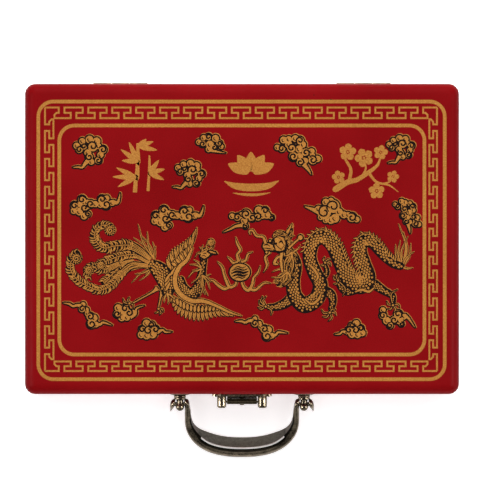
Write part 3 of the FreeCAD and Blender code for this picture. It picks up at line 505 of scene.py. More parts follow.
class Ink:
    """Thin closed plates of dried ink that lie on the lid, gathered into one mesh."""

    def __init__(self, name, look):
        self.name = name
        self.look = look
        self.points = []
        self.faces = []
        self.laid = 0

    def height(self, level):
        """Each plate is a hair higher than the last, so that no two tops share a plane."""
        self.laid += 1
        return LID_TOP + FIRST_LEVEL + LEVEL * level + HAIR * (self.laid % HAIRS)

    def plate(self, outline, level):
        """A filled outline, given anticlockwise or clockwise."""
        turn = sum(a[0] * b[1] - b[0] * a[1] for a, b in zip(outline, outline[1:] + outline[:1]))
        if turn < 0:
            outline = outline[::-1]
        top = self.height(level)
        count = len(outline)
        first = len(self.points)
        self.points += [(x, y, top) for x, y in outline]
        self.points += [(x, y, LID_TOP - PLATE_FOOT) for x, y in outline]
        self.faces.append(tuple(range(first, first + count)))
        self.faces.append(tuple(range(first + 2 * count - 1, first + count - 1, -1)))
        for index in range(count):
            after = (index + 1) % count
            self.faces.append((first + index, first + count + index, first + count + after, first + after))

    def band(self, left, right, level, closed=False):
        """A strip between two lines with the same number of points."""
        top = self.height(level)
        low = LID_TOP - PLATE_FOOT
        first = len(self.points)
        for (lx, ly), (rx, ry) in zip(left, right):
            self.points += [(lx, ly, top), (rx, ry, top), (rx, ry, low), (lx, ly, low)]
        count = len(left)
        for row in range(count if closed else count - 1):
            here, ahead = first + 4 * row, first + 4 * ((row + 1) % count)
            for side in range(4):
                beside = (side + 1) % 4
                self.faces.append((here + side, here + beside, ahead + beside, ahead + side))
        if not closed:
            end = first + 4 * (count - 1)
            self.faces.append((first + 3, first + 2, first + 1, first))
            self.faces.append((end, end + 1, end + 2, end + 3))

    def publish(self):
        piece(self.name, self.points, self.faces, self.look, "lid", smooth_angle=20)


def smooth_line(points, steps, closed=False):
    """A Catmull-Rom curve through points of any dimension."""
    places = [np.array(point, float) for point in points]
    count = len(places)
    curve = []
    for index in range(count if closed else count - 1):
        if closed:
            before, here, ahead, after = (places[(index + shift) % count] for shift in (-1, 0, 1, 2))
        else:
            here, ahead = places[index], places[index + 1]
            before = places[index - 1] if index else here * 2 - ahead
            after = places[index + 2] if index + 2 < count else ahead * 2 - here
        for step in range(steps):
            t = step / steps
            curve.append(0.5 * (2 * here + (ahead - before) * t
                                + (2 * before - 5 * here + 4 * ahead - after) * t * t
                                + (3 * here - before - 3 * ahead + after) * t ** 3))
    if not closed:
        curve.append(places[-1])
    return curve


def left_of(way):
    """The direction to the left of a direction."""
    return np.array((-way[1], way[0]))


def normals(curve, closed=False):
    """Unit normals to the left of a line, lengthened at sharp turns so that a band keeps its width."""
    count = len(curve)
    sides = []
    for index in range(count):
        back = curve[index] - curve[index - 1] if index or closed else None
        on = curve[(index + 1) % count] - curve[index] if index < count - 1 or closed else None
        back = on if back is None else back
        on = back if on is None else on
        first = left_of(back) / (np.hypot(*back) or 1)
        second = left_of(on) / (np.hypot(*on) or 1)
        both = first + second
        size = np.hypot(*both)
        if size < TURNED_BACK:
            sides.append(first)
            continue
        both /= size
        sides.append(both / max(LEAST_MITRE, float(both @ first)))
    return sides


def split(marks):
    """The places and the widths of a line that is given as x, y and width."""
    return [mark[:2] for mark in marks], [mark[2] for mark in marks]


def route_length(route):
    return sum(np.hypot(bx - ax, by - ay) for (ax, ay), (bx, by) in zip(route, route[1:]))


def brush(ink, points, widths, level, steps, growth=0.0, slip=(0, 0)):
    """A stroke along points whose width is given at each of them."""
    joined = [(*point, width) for point, width in zip(points, widths)]
    curve = smooth_line(joined, steps)
    flat = [place[:2] for place in curve]
    half = [max(place[2], THINNEST_STROKE) / 2 + growth for place in curve]
    if growth:
        start = flat[0] - flat[1]
        end = flat[-1] - flat[-2]
        flat[0] = flat[0] + start / (np.hypot(*start) or 1) * growth
        flat[-1] = flat[-1] + end / (np.hypot(*end) or 1) * growth
        half[0], half[-1] = half[0] * END_SHARE, half[-1] * END_SHARE
    move = np.array(slip)
    edges = list(zip(flat, normals(flat), half))
    left = [tuple(place + side * width + move) for place, side, width in edges]
    right = [tuple(place - side * width + move) for place, side, width in edges]
    ink.band(left, right, level)


def grown(outline, growth, slip=(0, 0)):
    """A closed outline pushed outwards."""
    places = [np.array(point, float) for point in outline]
    turn = sum(a[0] * b[1] - b[0] * a[1] for a, b in zip(places, places[1:] + places[:1]))
    direction = -1 if turn > 0 else 1
    sides = normals(places, closed=True)
    return [tuple(place + side * growth * direction + np.array(slip)) for place, side in zip(places, sides)]


def ellipse(x, y, half_x, half_y, steps):
    turns = [math.tau * step / steps for step in range(steps)]
    return [(x + half_x * math.cos(turn), y + half_y * math.sin(turn)) for turn in turns]


def circle(x, y, radius, steps=18):
    return ellipse(x, y, radius, radius, steps)


# A petal's width at its root, half way to its belly and half way from there to its tip, as shares.
PETAL_ROOT, PETAL_LOW, PETAL_HIGH = 0.35, 0.85, 0.72


def leaf(root, tip, wide, belly, steps=5):
    """A pointed petal from root to tip, widest at the belly share of its length."""
    root, tip = np.array(root, float), np.array(tip, float)
    along = tip - root
    across = left_of(along) / (np.hypot(*along) or 1) * wide / 2
    side = ((root, PETAL_ROOT), (root + along * belly * 0.5, PETAL_LOW), (root + along * belly, 1.0),
            (root + along * (belly + 1) / 2, PETAL_HIGH))
    shape = [place - across * share for place, share in side] + [tip]
    shape += [place + across * share for place, share in reversed(side)]
    return [tuple(place) for place in smooth_line(shape, steps, closed=True)]


class Motif:
    """A drawing in gold with black linework, printed slightly out of register."""

    def __init__(self, name):
        self.gold = Ink(name + "_gold", GOLD)
        self.black = Ink(name + "_black", BLACK)

    def shape(self, outline, level, line=LINE_GROWTH):
        """A gold shape with a black line round it, and a gold halo round that."""
        self.gold.plate(grown(outline, line + HALO_EDGE, HALO_SLIP), 0)
        self.black.plate(grown(outline, line, BLACK_SLIP), level)
        self.gold.plate(outline, level + 1)

    def ground(self, points, widths, level, line, steps=6):
        """A black stroke with a gold halo, for gold marks to lie on."""
        brush(self.gold, points, widths, 0, steps, line + HALO_EDGE, HALO_SLIP)
        brush(self.black, points, widths, level, steps, line)

    def stroke(self, points, widths, level, line=LINE_GROWTH, steps=6):
        """A gold stroke with a black line round it, and a gold halo round that."""
        self.ground(points, widths, level, line, steps)
        brush(self.gold, points, widths, level + 1, steps)

    def line(self, points, wide, level, steps=6):
        """A black line that thins out at both ends."""
        ends = (0, len(points) - 1)
        widths = [wide * (LINE_END if index in ends else 1) for index in range(len(points))]
        brush(self.black, points, widths, level, steps)

    def publish(self):
        self.gold.publish()
        self.black.publish()


# ---------------------------------------------------------------- printed frame

# Widths of the lines; insets of the two frame lines and of the fret's outer rail from the lid's edges.
FRAME_LINE = 2.6
FRET_LINE = 1.3
FRAME_OUTER = {"left": 10.5, "right": 11.2, "top": 13.6, "bottom": 11.6}
FRAME_INNER = {"left": 25.9, "right": 26.1, "top": 31.2, "bottom": 29.7}
FRET_OUTER = {"left": 15.4, "right": 16.9, "top": 18.0, "bottom": 17.6}
FRAME_CORNER = 11.0
# The fret's jogs, its repeats on each side and, as a share of a repeat, its long run.
FRET_STEP = {"left": 3.1, "right": 2.8, "top": 3.9, "bottom": 3.5}
FRET_REPEATS = {"top": 16, "bottom": 16, "left": 9, "right": 9}
FRET_RAIL = 0.765
# How much of the first and last repeat is cut away at a corner, and how slanting a short run ends there.
FRET_TRIM = 3.3
FRET_SLANT = 0.32


def framed(insets):
    """The rectangle left by insets from the lid's edges: its lowest and highest corners."""
    return ((-HALF_WIDE + insets["left"], -HALF_DEEP + insets["bottom"]),
            (HALF_WIDE - insets["right"], HALF_DEEP - insets["top"]))


def frame_line(ink, insets):
    (x0, y0), (x1, y1) = framed(insets)
    centre_x, centre_y = (x0 + x1) / 2, (y0 + y1) / 2
    edges = []
    for shift in (-FRAME_LINE / 2, FRAME_LINE / 2):
        ring = rounded_ring((x1 - x0) / 2 - shift, (y1 - y0) / 2 - shift, FRAME_CORNER - shift, 12, (20, 14))
        edges.append([(x + centre_x, y + centre_y) for x, y in ring])
    ink.band(edges[1], edges[0], 3, closed=True)


def fret_path(length, repeats, step):
    """Runs and heights of a key fret that starts and ends on its outer rail.

    A long run on the outer rail, a jog to the middle line and a short run back, a jog to the
    inner rail and a long run on, and the same again on the way out.  Next to the corners the
    short run is cut off at a slant, so that two sides of the frame don't touch.
    """
    pitch = (length + 2 * FRET_TRIM) / (repeats + FRET_RAIL)
    long_run = pitch * FRET_RAIL
    short_run = long_run - pitch / 2
    slant = short_run * FRET_SLANT
    path = [(0.0, 0.0)]
    reach = -FRET_TRIM
    for index in range(repeats):
        reach += long_run
        path += [(reach, 0.0), (reach, step)]
        reach -= short_run
        if index == 0:
            path += [(reach + 2 * slant, step), (reach + slant, step + slant), (reach + slant, 2 * step)]
        else:
            path += [(reach, step), (reach, 2 * step)]
        reach += long_run
        if index == repeats - 1:
            path += [(reach - slant, 2 * step), (reach - slant, step + slant), (reach - 2 * slant, step)]
        else:
            path += [(reach, 2 * step), (reach, step)]
        reach -= short_run
        path += [(reach, step), (reach, 0.0)]
    path.append((length, 0.0))
    return path


def printed_frame():
    ink = Ink("frame_gold", GOLD)
    frame_line(ink, FRAME_OUTER)
    frame_line(ink, FRAME_INNER)
    (x0, y0), (x1, y1) = framed(FRET_OUTER)
    sides = {
        "top": ((x0, y1), (1, 0), (0, -1), x1 - x0),
        "bottom": ((x0, y0), (1, 0), (0, 1), x1 - x0),
        "left": ((x0, y1), (0, -1), (1, 0), y1 - y0),
        "right": ((x1, y1), (0, -1), (-1, 0), y1 - y0),
    }
    half = FRET_LINE / 2
    for name, (start, along, inward, length) in sides.items():
        route = [np.array(start) + np.array(along) * run + np.array(inward) * height
                 for run, height in fret_path(length, FRET_REPEATS[name], FRET_STEP[name])]
        edges = list(zip(route, normals(route)))
        ink.band([tuple(place + edge * half) for place, edge in edges],
                 [tuple(place - edge * half) for place, edge in edges], 2)
    ink.publish()


# ---------------------------------------------------------------- printed clouds

# Lobes are x, y, radius and the way the scroll in them winds, on a cloud one unit wide.
# Tails are x, y and width from the cloud to the tip.
BUNCH = {
    "lobes": [(-0.38, 0.20, 0.105, 0), (-0.30, 0.09, 0.11, 1), (-0.22, 0.33, 0.105, 0),
              (-0.01, 0.38, 0.125, 0), (0.19, 0.33, 0.125, 0), (0.24, 0.19, 0.10, 0),
              (0.37, 0.09, 0.125, -1), (0.30, -0.06, 0.105, 0), (0.24, -0.22, 0.11, -1),
              (0.04, -0.26, 0.10, 0), (-0.06, 0.0, 0.115, 0), (0.08, 0.19, 0.165, -1),
              (-0.17, 0.18, 0.10, 1), (-0.02, -0.12, 0.12, 1)],
    "tails": [[(-0.04, -0.20, 0.13), (-0.15, -0.33, 0.085), (-0.22, -0.42, 0.05), (-0.35, -0.41, 0.04),
               (-0.48, -0.42, 0.01)]],
}
PUFF = {
    "lobes": [(-0.40, 0.06, 0.11, 0), (-0.27, 0.0, 0.125, -1), (-0.24, 0.21, 0.11, 0),
              (-0.07, 0.235, 0.125, 1), (0.17, 0.19, 0.137, 0), (0.30, 0.02, 0.12, 1),
              (0.37, -0.09, 0.10, 0), (-0.02, -0.02, 0.15, 0), (0.13, -0.12, 0.12, -1),
              (-0.06, -0.18, 0.12, 0)],
    "tails": [[(0.01, -0.21, 0.12), (0.2, -0.26, 0.06), (0.5, -0.31, 0.01)]],
}
DRIFT = {
    "lobes": [(-0.40, 0.04, 0.082, 1), (-0.42, -0.06, 0.071, 0), (-0.25, 0.145, 0.088, 1),
              (-0.155, 0.08, 0.068, 0), (-0.316, -0.09, 0.078, 0), (-0.23, -0.176, 0.075, 0),
              (-0.155, -0.144, 0.062, 1), (-0.21, -0.015, 0.085, -1), (-0.31, 0.03, 0.08, 0),
              (-0.14, 0.02, 0.07, 0), (-0.09, 0.05, 0.085, -1), (0.0, 0.04, 0.07, 0),
              (0.135, 0.125, 0.088, -1), (0.23, 0.14, 0.062, 0), (0.21, 0.015, 0.10, 1),
              (0.33, 0.04, 0.068, 0), (0.10, 0.02, 0.068, 0)],
    "tails": [[(0.33, 0.06, 0.09), (0.425, 0.04, 0.055), (0.47, 0.125, 0.03), (0.49, 0.21, 0.008)]],
}
SHELF = {
    "lobes": [(-0.437, 0.18, 0.07, 0), (-0.34, 0.155, 0.085, 1), (-0.30, 0.34, 0.086, 0),
              (-0.19, 0.353, 0.08, 0), (-0.05, 0.37, 0.085, 0), (0.05, 0.33, 0.094, -1),
              (0.115, 0.24, 0.08, 0), (-0.19, 0.24, 0.09, 0), (-0.13, 0.168, 0.104, 1),
              (0.03, 0.143, 0.09, 0), (-0.09, -0.017, 0.104, -1), (0.18, 0.07, 0.10, 1),
              (0.30, 0.094, 0.08, 0), (0.43, -0.067, 0.08, 0), (0.33, -0.09, 0.104, -1),
              (0.06, -0.14, 0.09, -1), (0.16, -0.11, 0.08, 0), (0.04, -0.02, 0.09, 0), (0.30, 0.0, 0.09, 0)],
    "tails": [[(0.13, -0.18, 0.09), (0.23, -0.30, 0.05), (0.29, -0.40, 0.012)]],
}
WISP = {
    "lobes": [(-0.33, 0.06, 0.066, 0), (-0.224, 0.04, 0.08, 1), (-0.053, 0.10, 0.10, -1),
              (-0.09, -0.03, 0.075, 0), (-0.066, -0.137, 0.06, 1), (0.066, 0.03, 0.085, 1),
              (0.197, 0.17, 0.092, 0), (0.316, 0.17, 0.08, -1), (0.18, 0.05, 0.085, -1),
              (0.355, 0.08, 0.08, 0), (0.447, 0.034, 0.058, 1), (0.27, 0.08, 0.08, 0),
              (-0.14, 0.08, 0.07, 0)],
    "tails": [[(-0.08, -0.11, 0.08), (-0.25, -0.137, 0.045), (-0.355, -0.19, 0.032), (-0.5, -0.255, 0.008)]],
}
SWIRL = {
    "lobes": [(-0.113, 0.165, 0.07, 0), (-0.02, 0.19, 0.06, 0), (0.016, 0.09, 0.125, -1),
              (-0.14, -0.01, 0.13, 1), (0.205, -0.06, 0.07, 0), (0.346, -0.105, 0.09, -1),
              (0.43, -0.14, 0.06, 0), (-0.02, -0.153, 0.075, 0), (-0.24, 0.04, 0.07, 0),
              (0.122, -0.01, 0.075, 0), (0.05, -0.12, 0.085, 0), (-0.113, -0.153, 0.06, 0),
              (0.28, -0.06, 0.06, 0), (-0.20, -0.10, 0.06, 0)],
    "tails": [[(-0.22, -0.01, 0.10), (-0.35, 0.04, 0.055), (-0.48, 0.085, 0.012)]],
}
CHAIN = {
    "lobes": [(-0.09, 0.23, 0.06, 0), (-0.11, 0.14, 0.08, 1), (-0.02, 0.12, 0.06, 0), (0.0, 0.04, 0.065, 0),
              (0.055, -0.02, 0.09, -1), (0.14, -0.05, 0.08, 0), (0.083, -0.172, 0.105, 1),
              (0.18, -0.186, 0.07, 0)],
    "tails": [[(-0.12, 0.2, 0.085), (-0.22, 0.215, 0.05), (-0.30, 0.195, 0.04), (-0.38, 0.24, 0.035),
               (-0.5, 0.26, 0.008)],
              [(0.18, -0.19, 0.08), (0.27, -0.18, 0.045), (0.33, -0.145, 0.04), (0.5, -0.2, 0.008)]],
}
HOOK = {
    "lobes": [(-0.35, 0.14, 0.14, 0), (-0.38, -0.06, 0.14, -1), (-0.23, -0.19, 0.13, 0),
              (-0.12, 0.12, 0.15, 1), (0.01, -0.02, 0.14, -1), (-0.06, -0.18, 0.12, 0),
              (0.14, 0.0, 0.10, 0), (-0.22, -0.03, 0.15, 0)],
    "tails": [[(0.05, -0.17, 0.13), (0.22, -0.06, 0.08), (0.26, 0.12, 0.05), (0.5, 0.21, 0.01)]],
}
TUFT = {
    "lobes": [(-0.38, -0.157, 0.118, 0), (-0.345, 0.0, 0.12, 1), (-0.227, 0.176, 0.125, 0),
              (-0.07, 0.13, 0.11, -1), (-0.17, -0.03, 0.15, 1), (0.03, 0.0, 0.125, -1),
              (-0.22, -0.18, 0.13, 0), (-0.05, -0.14, 0.14, 0), (0.11, -0.06, 0.08, 0)],
    "tails": [[(0.09, -0.08, 0.11), (0.24, -0.02, 0.055), (0.33, -0.08, 0.045), (0.5, -0.08, 0.01)]],
}
FLIGHT = {
    "lobes": [(-0.40, 0.226, 0.095, 0), (-0.40, 0.075, 0.113, 1), (-0.29, -0.075, 0.12, 0),
              (-0.196, -0.21, 0.10, 1), (-0.083, -0.057, 0.12, -1), (0.03, 0.113, 0.132, 1),
              (0.07, -0.075, 0.12, 0), (0.125, -0.17, 0.083, -1), (0.2, 0.04, 0.095, 0)],
    "tails": [[(0.2, 0.09, 0.10), (0.33, -0.02, 0.055), (0.5, -0.26, 0.01)]],
}
# Centre x and y and width in millimetres, turn in degrees, and 1 or -1 for as drawn or mirrored.
CLOUDS = [
    (BUNCH, -111.6, 63.3, 25.7, 0, 1), (PUFF, -23.1, 69.8, 21.5, 0, 1), (BUNCH, -38.6, 46.6, 23.4, -6, 1),
    (DRIFT, -107.6, 24.1, 38.0, 4, 1), (DRIFT, -47.6, 15.6, 39.2, 0, 1), (WISP, 5.0, 14.5, 37.4, 0, 1),
    (SHELF, 40.8, 61.1, 34.1, 0, 1), (BUNCH, 116.6, 65.8, 21.6, 6, 1), (SWIRL, 66.2, 20.2, 41.8, 0, 1),
    (SHELF, 120.6, 16.7, 25.5, -24, 1), (CHAIN, -113.4, -56.2, 35.4, 0, 1), (HOOK, -83.1, -53.7, 22.1, 0, 1),
    (TUFT, -64.4, -66.3, 25.1, 0, 1), (CHAIN, 14.3, -65.9, 35.4, 12, 1), (TUFT, 79.2, -66.7, 23.0, 8, -1),
    (FLIGHT, 113.8, -58.0, 26.0, 0, 1),
]
SCROLL_TURNS = 1.2
SCROLL_LINE = 1.2
SCROLL_STEPS = 14
# A scroll starts just outside its lobe and winds in; where it starts leans away from the cloud's middle.
SCROLL_OUT, SCROLL_IN = 1.05, 0.85
SCROLL_LEAN = 0.5
# A lobe with no scroll has a short arc inside it.
ECHO_START = 2.4
ECHO_REACH = 0.5
ECHO_TURN = 0.5
ECHO_STEPS = 6
ECHO_LINE = 0.75
# How much smaller than its table says a lobe is printed, in millimetres.
LOBE_TRIM = 0.42


def cloud(motif, template, x, y, wide, turn, mirror):
    angle = math.radians(turn)
    cos, sin = math.cos(angle), math.sin(angle)

    def placed(px, py):
        px, py = px * wide * mirror, py * wide
        return (x + px * cos - py * sin, y + px * sin + py * cos)

    for tail in template["tails"]:
        motif.stroke([placed(tx, ty) for tx, ty, _ in tail], [tw * wide for _, _, tw in tail], 1)
    for lx, ly, radius, winding in template["lobes"]:
        cx, cy = placed(lx, ly)
        size = radius * wide - LOBE_TRIM
        motif.shape(circle(cx, cy, size), 1)
        curl = []
        if winding:
            start = math.atan2(-ly, -lx) * mirror + (0 if mirror > 0 else math.pi) + angle
            start += winding * mirror * SCROLL_LEAN
            for step in range(SCROLL_STEPS):
                share = step / (SCROLL_STEPS - 1)
                reach = size * (SCROLL_OUT - SCROLL_IN * share)
                around = start + winding * mirror * share * math.tau * SCROLL_TURNS
                curl.append((cx + reach * math.cos(around), cy + reach * math.sin(around)))
            motif.line(curl, SCROLL_LINE, 4, steps=3)
        else:
            reach = ECHO_REACH * size
            for step in range(ECHO_STEPS):
                around = ECHO_START + angle + ECHO_TURN * step
                curl.append((cx + reach * math.cos(around), cy + reach * math.sin(around)))
            motif.line(curl, ECHO_LINE, 4, steps=2)


def printed_clouds():
    motif = Motif("clouds")
    for template, *place in CLOUDS:
        cloud(motif, template, *place)
    motif.publish()


# ---------------------------------------------------------------- printed pearl, phoenix and dragon

def between(points, share):
    """The place a share of the way along a line, by length, and the line's direction there."""
    places = smooth_line(points, 8)
    steps = [np.hypot(*(b - a)[:2]) for a, b in zip(places, places[1:])]
    left = share * sum(steps)
    for here, ahead, step in zip(places, places[1:], steps):
        if left <= step:
            way = (ahead - here)[:2]
            return here + (ahead - here) * (left / step), way / (np.hypot(*way) or 1)
        left -= step
    way = (places[-1] - places[-2])[:2]
    return places[-1], way / (np.hypot(*way) or 1)


FEATHER_TRIM = 0.8
FEATHER_BELLY = 0.62
FEATHER_LINE = 0.62
QUILL_LINE = 0.45
QUILL_START, QUILL_END = 0.25, 0.85


def feathers(motif, roots, tips, count, wide, level, quill=QUILL_LINE):
    """A row of overlapping feathers from one line to another; wide is the first and the last one's width."""
    for index in range(count):
        share = index / (count - 1)
        root, _ = between(roots, share)
        tip, _ = between(tips, share)
        size = (wide[0] + (wide[1] - wide[0]) * share) * FEATHER_TRIM
        motif.shape(leaf(root, tip, size, FEATHER_BELLY, 4), level + 2 * (index % 2), line=FEATHER_LINE)
        if quill:
            ends = [tuple(root + (tip - root) * place) for place in (QUILL_START, QUILL_END)]
            motif.line(ends, quill, level + 5, 2)


PLUME_LINE = 0.4
# Gold streaks at a plume's root: their places across it, and how far out 1 is, in widths of the plume.
STREAK_OFFSETS = (-0.82, -0.42, 0.42, 0.82)
STREAK_SPREAD = 0.42
STREAK_WIDTHS = [0.55] * 6 + [0.1]
# Where the barbs start along a plume, how far apart they are, and where one leaves the quill.
BARB_START = 0.22
BARB_SPACING = 1.75
BARB_ROOT = 0.16
BARB_LINE = 0.36
BARB_BLACK = [1.1, 1.6, 0.5]
PLUME_QUILL = 0.55


def barbed_plume(motif, spine, level):
    """A long tail plume: gold streaks at its root, then uneven hooked barbs off both sides of a quill."""
    route, widths = split(spine)
    motif.ground(route, widths, level, PLUME_LINE)
    for offset in STREAK_OFFSETS:
        streak = []
        for step in range(7):
            place, way = between(spine, step / 6 * random.uniform(1.2, 1.6) * BARB_START)
            streak.append(tuple(place[:2] + left_of(way) * offset * place[2] * STREAK_SPREAD))
        brush(motif.gold, streak, STREAK_WIDTHS, level + 1, 3)
    rows = max(4, round(route_length(route) * (1 - BARB_START) / BARB_SPACING))
    for row in range(rows):
        for side in (-1, 1):
            share = BARB_START + (1 - BARB_START) * (row + random.uniform(0.2, 0.8)) / rows
            place, way = between(spine, share)
            across = left_of(way) * side
            half = place[2] / 2
            root = place[:2] + across * half * BARB_ROOT
            hook = place[:2] + across * half * random.uniform(0.6, 0.95) + way * random.uniform(0.3, 1.0)
            tip = place[:2] + across * half * random.uniform(0.85, 1.5) + way * random.uniform(1.8, 3.2)
            barb = [tuple(root), tuple(hook), tuple(tip)]
            brush(motif.black, barb, BARB_BLACK, level, 4, BARB_LINE)
            brush(motif.gold, barb, [0.4, random.uniform(0.55, 1.25), 0.12], level + 1, 4)
    brush(motif.gold, route, [PLUME_QUILL] * len(route), level + 2, 6)


BODY_LINE = 0.6
# Rows of scales overlap: their spacing along the body in pitches, and the bare edge beside them.
ROW_SPACING = 0.82
BARE_EDGE = 0.8
# The corners of a scale, along the body and across it, in sizes of the scale.
SCALE_SHAPE = [(-0.5, -0.36), (0.2, -0.5), (0.58, 0.0), (0.2, 0.5), (-0.5, 0.36)]
# A row of spines along a gold rim: how far out, the rim's width, and the spines' spacing, lean and widths.
RIDGE_STEPS = 60
RIDGE_OUT = 0.46
RIDGE_RIM = 0.5
RIDGE_SPACING = 2.3
RIDGE_LEAN = 0.75
RIDGE_BLACK, RIDGE_GOLD = 1.5, 0.85
RIDGE_LINE = 0.35
SPINE_BELLY = 0.3


def scaled_body(motif, spine, level, scale, pitch, ridge=None):
    """A black body covered with rows of gold scales; ridge adds spines on one side."""
    route, widths = split(spine)
    motif.ground(route, widths, level, BODY_LINE, 8)
    length = route_length(route)
    rows = max(3, round(length / (pitch * ROW_SPACING)))
    for row in range(rows):
        place, way = between(spine, (row + 0.4) / rows)
        across = left_of(way)
        columns = max(1, round((place[2] - BARE_EDGE) / pitch) + (row % 2 == 0) - 1)
        for column in range(columns):
            centre = place[:2] + across * ((column - (columns - 1) / 2) * pitch)
            size = scale * random.uniform(0.85, 1.08)
            shape = [tuple(centre + way * size * on + across * size * out) for on, out in SCALE_SHAPE]
            motif.gold.plate(shape, level + 1)
    if ridge:
        spines(motif, spine, level, length, *ridge)


def spines(motif, spine, level, length, side, first, last, tall):
    """Spines on one side of a body, from the first to the last share of its length."""
    rim = []
    for step in range(RIDGE_STEPS + 1):
        place, way = between(spine, first + (last - first) * step / RIDGE_STEPS)
        rim.append(tuple(place[:2] + left_of(way) * side * place[2] * RIDGE_OUT))
    brush(motif.gold, rim, [RIDGE_RIM] * len(rim), level + 1, 2)
    count = round(length * (last - first) / RIDGE_SPACING)
    for index in range(count):
        place, way = between(spine, first + (last - first) * index / (count - 1))
        across = left_of(way) * side
        root = place[:2] + across * place[2] * RIDGE_OUT
        tip = root + across * tall - way * tall * RIDGE_LEAN
        motif.black.plate(grown(leaf(root, tip, RIDGE_BLACK, SPINE_BELLY, 2), RIDGE_LINE), level)
        motif.gold.plate(leaf(root, tip, RIDGE_GOLD, SPINE_BELLY, 2), level + 1)


LOCK_LINE = 0.42


def hairs(motif, root, tips, wide, level, bend):
    """Tapering locks that sweep from one place to several tips."""
    root = np.array(root, float)
    for index, tip in enumerate(tips):
        way = np.array(tip, float) - root
        middle = root + way * 0.5 + left_of(way) * bend * (1 if index % 2 else -1)
        motif.stroke([tuple(root), tuple(middle), tip], [wide * 0.5, wide * 0.42, 0.1],
                     level + 2 * (index % 2), line=LOCK_LINE, steps=5)


# Between fine hairs, along the lock and across it, in millimetres.
HAIR_SPACING = (2.0, 1.3)
HAIR_WIDTHS = [0.3, 0.5, 0.1]
MANE_LINE = 0.5


def shaggy(motif, spine, level):
    """A dark mane with many fine gold hairs lying along it."""
    route, widths = split(spine)
    motif.ground(route, widths, level, MANE_LINE)
    rows = round(route_length(route) / HAIR_SPACING[0])
    lanes = round(max(widths) / HAIR_SPACING[1])
    for row in range(rows):
        for lane in range(lanes):
            place, way = between(spine, (row + random.uniform(0.0, 0.9)) / rows)
            across = left_of(way)
            root = place[:2] + across * place[2] * ((lane + 0.5) / lanes - 0.5)
            tip = root + way * random.uniform(1.8, 3.2) + across * random.uniform(-0.9, 1.1)
            middle = (root + tip) / 2 + across * random.uniform(-0.4, 0.5)
            brush(motif.gold, [tuple(root), tuple(middle), tuple(tip)], HAIR_WIDTHS, level + 1, 3)


TOE_WIDTHS = [0.6, 0.55, 0.1]
# A toe's joint: share of the way along it, and how far it stands aside.
TOE_JOINT, TOE_HOOK = 0.62, 0.28
PALM = 0.8
FOOT_LINE = 0.75


def talons(motif, palm, tips, level):
    """A clawed foot: a round palm with hooked toes."""
    palm = np.array(palm, float)
    for tip in tips:
        way = np.array(tip, float) - palm
        hook = palm + way * TOE_JOINT + left_of(way) * TOE_HOOK
        motif.stroke([tuple(palm), tuple(hook), tip], TOE_WIDTHS, level, line=FOOT_LINE, steps=5)
    motif.shape(circle(*palm, PALM, 12), level + 2, line=FOOT_LINE)


# A ball of striped gold with flames licking out of it.
PEARL_CENTRE = (-1.6, -24.4)
PEARL_WIDE, PEARL_HIGH = 7.4, 6.2
# Its dark stripes: height above the centre, half length and width.
PEARL_STRIPES = [(3.6, 4.6, 0.8), (2.0, 6.2, 1.1), (0.0, 6.4, 1.9), (-2.2, 5.8, 1.7), (-4.0, 4.2, 0.9)]
# A stripe's wave: places in half lengths, and rises.
STRIPE_WAVE = [(-1, -0.9), (-0.3, 0.5), (0.4, -0.4), (1, 0.7)]
PEARL_FLAMES = [
    [(-2.4, -16.6, 2.2), (-3.6, -11.6, 1.5), (-1.4, -8.2, 1.5), (-3.6, -3.6, 1.2), (-4.8, 0.8, 0.2)],
    [(-3.0, -16.8, 1.6), (-6.4, -17.6, 1.5), (-8.6, -15.4, 1.1), (-10.8, -13.4, 0.2)],
    [(-0.6, -16.8, 1.6), (2.6, -15.6, 1.4), (4.2, -11.4, 1.1), (7.4, -9.8, 0.2)],
    [(-3.8, -30.4, 1.3), (-5.4, -34.2, 1.5), (-9.2, -35.2, 1.9), (-11.6, -30.6, 1.8), (-13.2, -26.4, 1.3),
     (-14.8, -20.8, 1.2), (-18.0, -17.0, 0.2)],
    [(-9.0, -35.2, 1.6), (-13.4, -36.6, 1.9), (-18.6, -33.2, 1.5), (-21.4, -30.6, 1.0), (-25.2, -29.8, 0.2)],
    [(-0.6, -30.6, 1.3), (1.2, -35.4, 1.6), (4.6, -37.6, 2.1), (7.4, -33.6, 1.9), (8.4, -28.6, 1.3),
     (11.6, -24.6, 1.1), (13.0, -20.2, 0.2)],
    [(5.4, -36.8, 1.7), (9.8, -37.4, 1.7), (13.8, -34.2, 1.3), (16.6, -32.4, 1.0), (20.6, -32.6, 0.2)],
]


def printed_pearl():
    motif = Motif("pearl")
    for flame in PEARL_FLAMES:
        motif.stroke(*split(flame), 1, line=0.6)
    x, y = PEARL_CENTRE
    motif.shape(ellipse(x, y, PEARL_WIDE, PEARL_HIGH, 30), 3)
    for rise, reach, wide in PEARL_STRIPES:
        motif.line([(x + reach * place, y + rise + wave) for place, wave in STRIPE_WAVE], wide, 5)
    motif.publish()


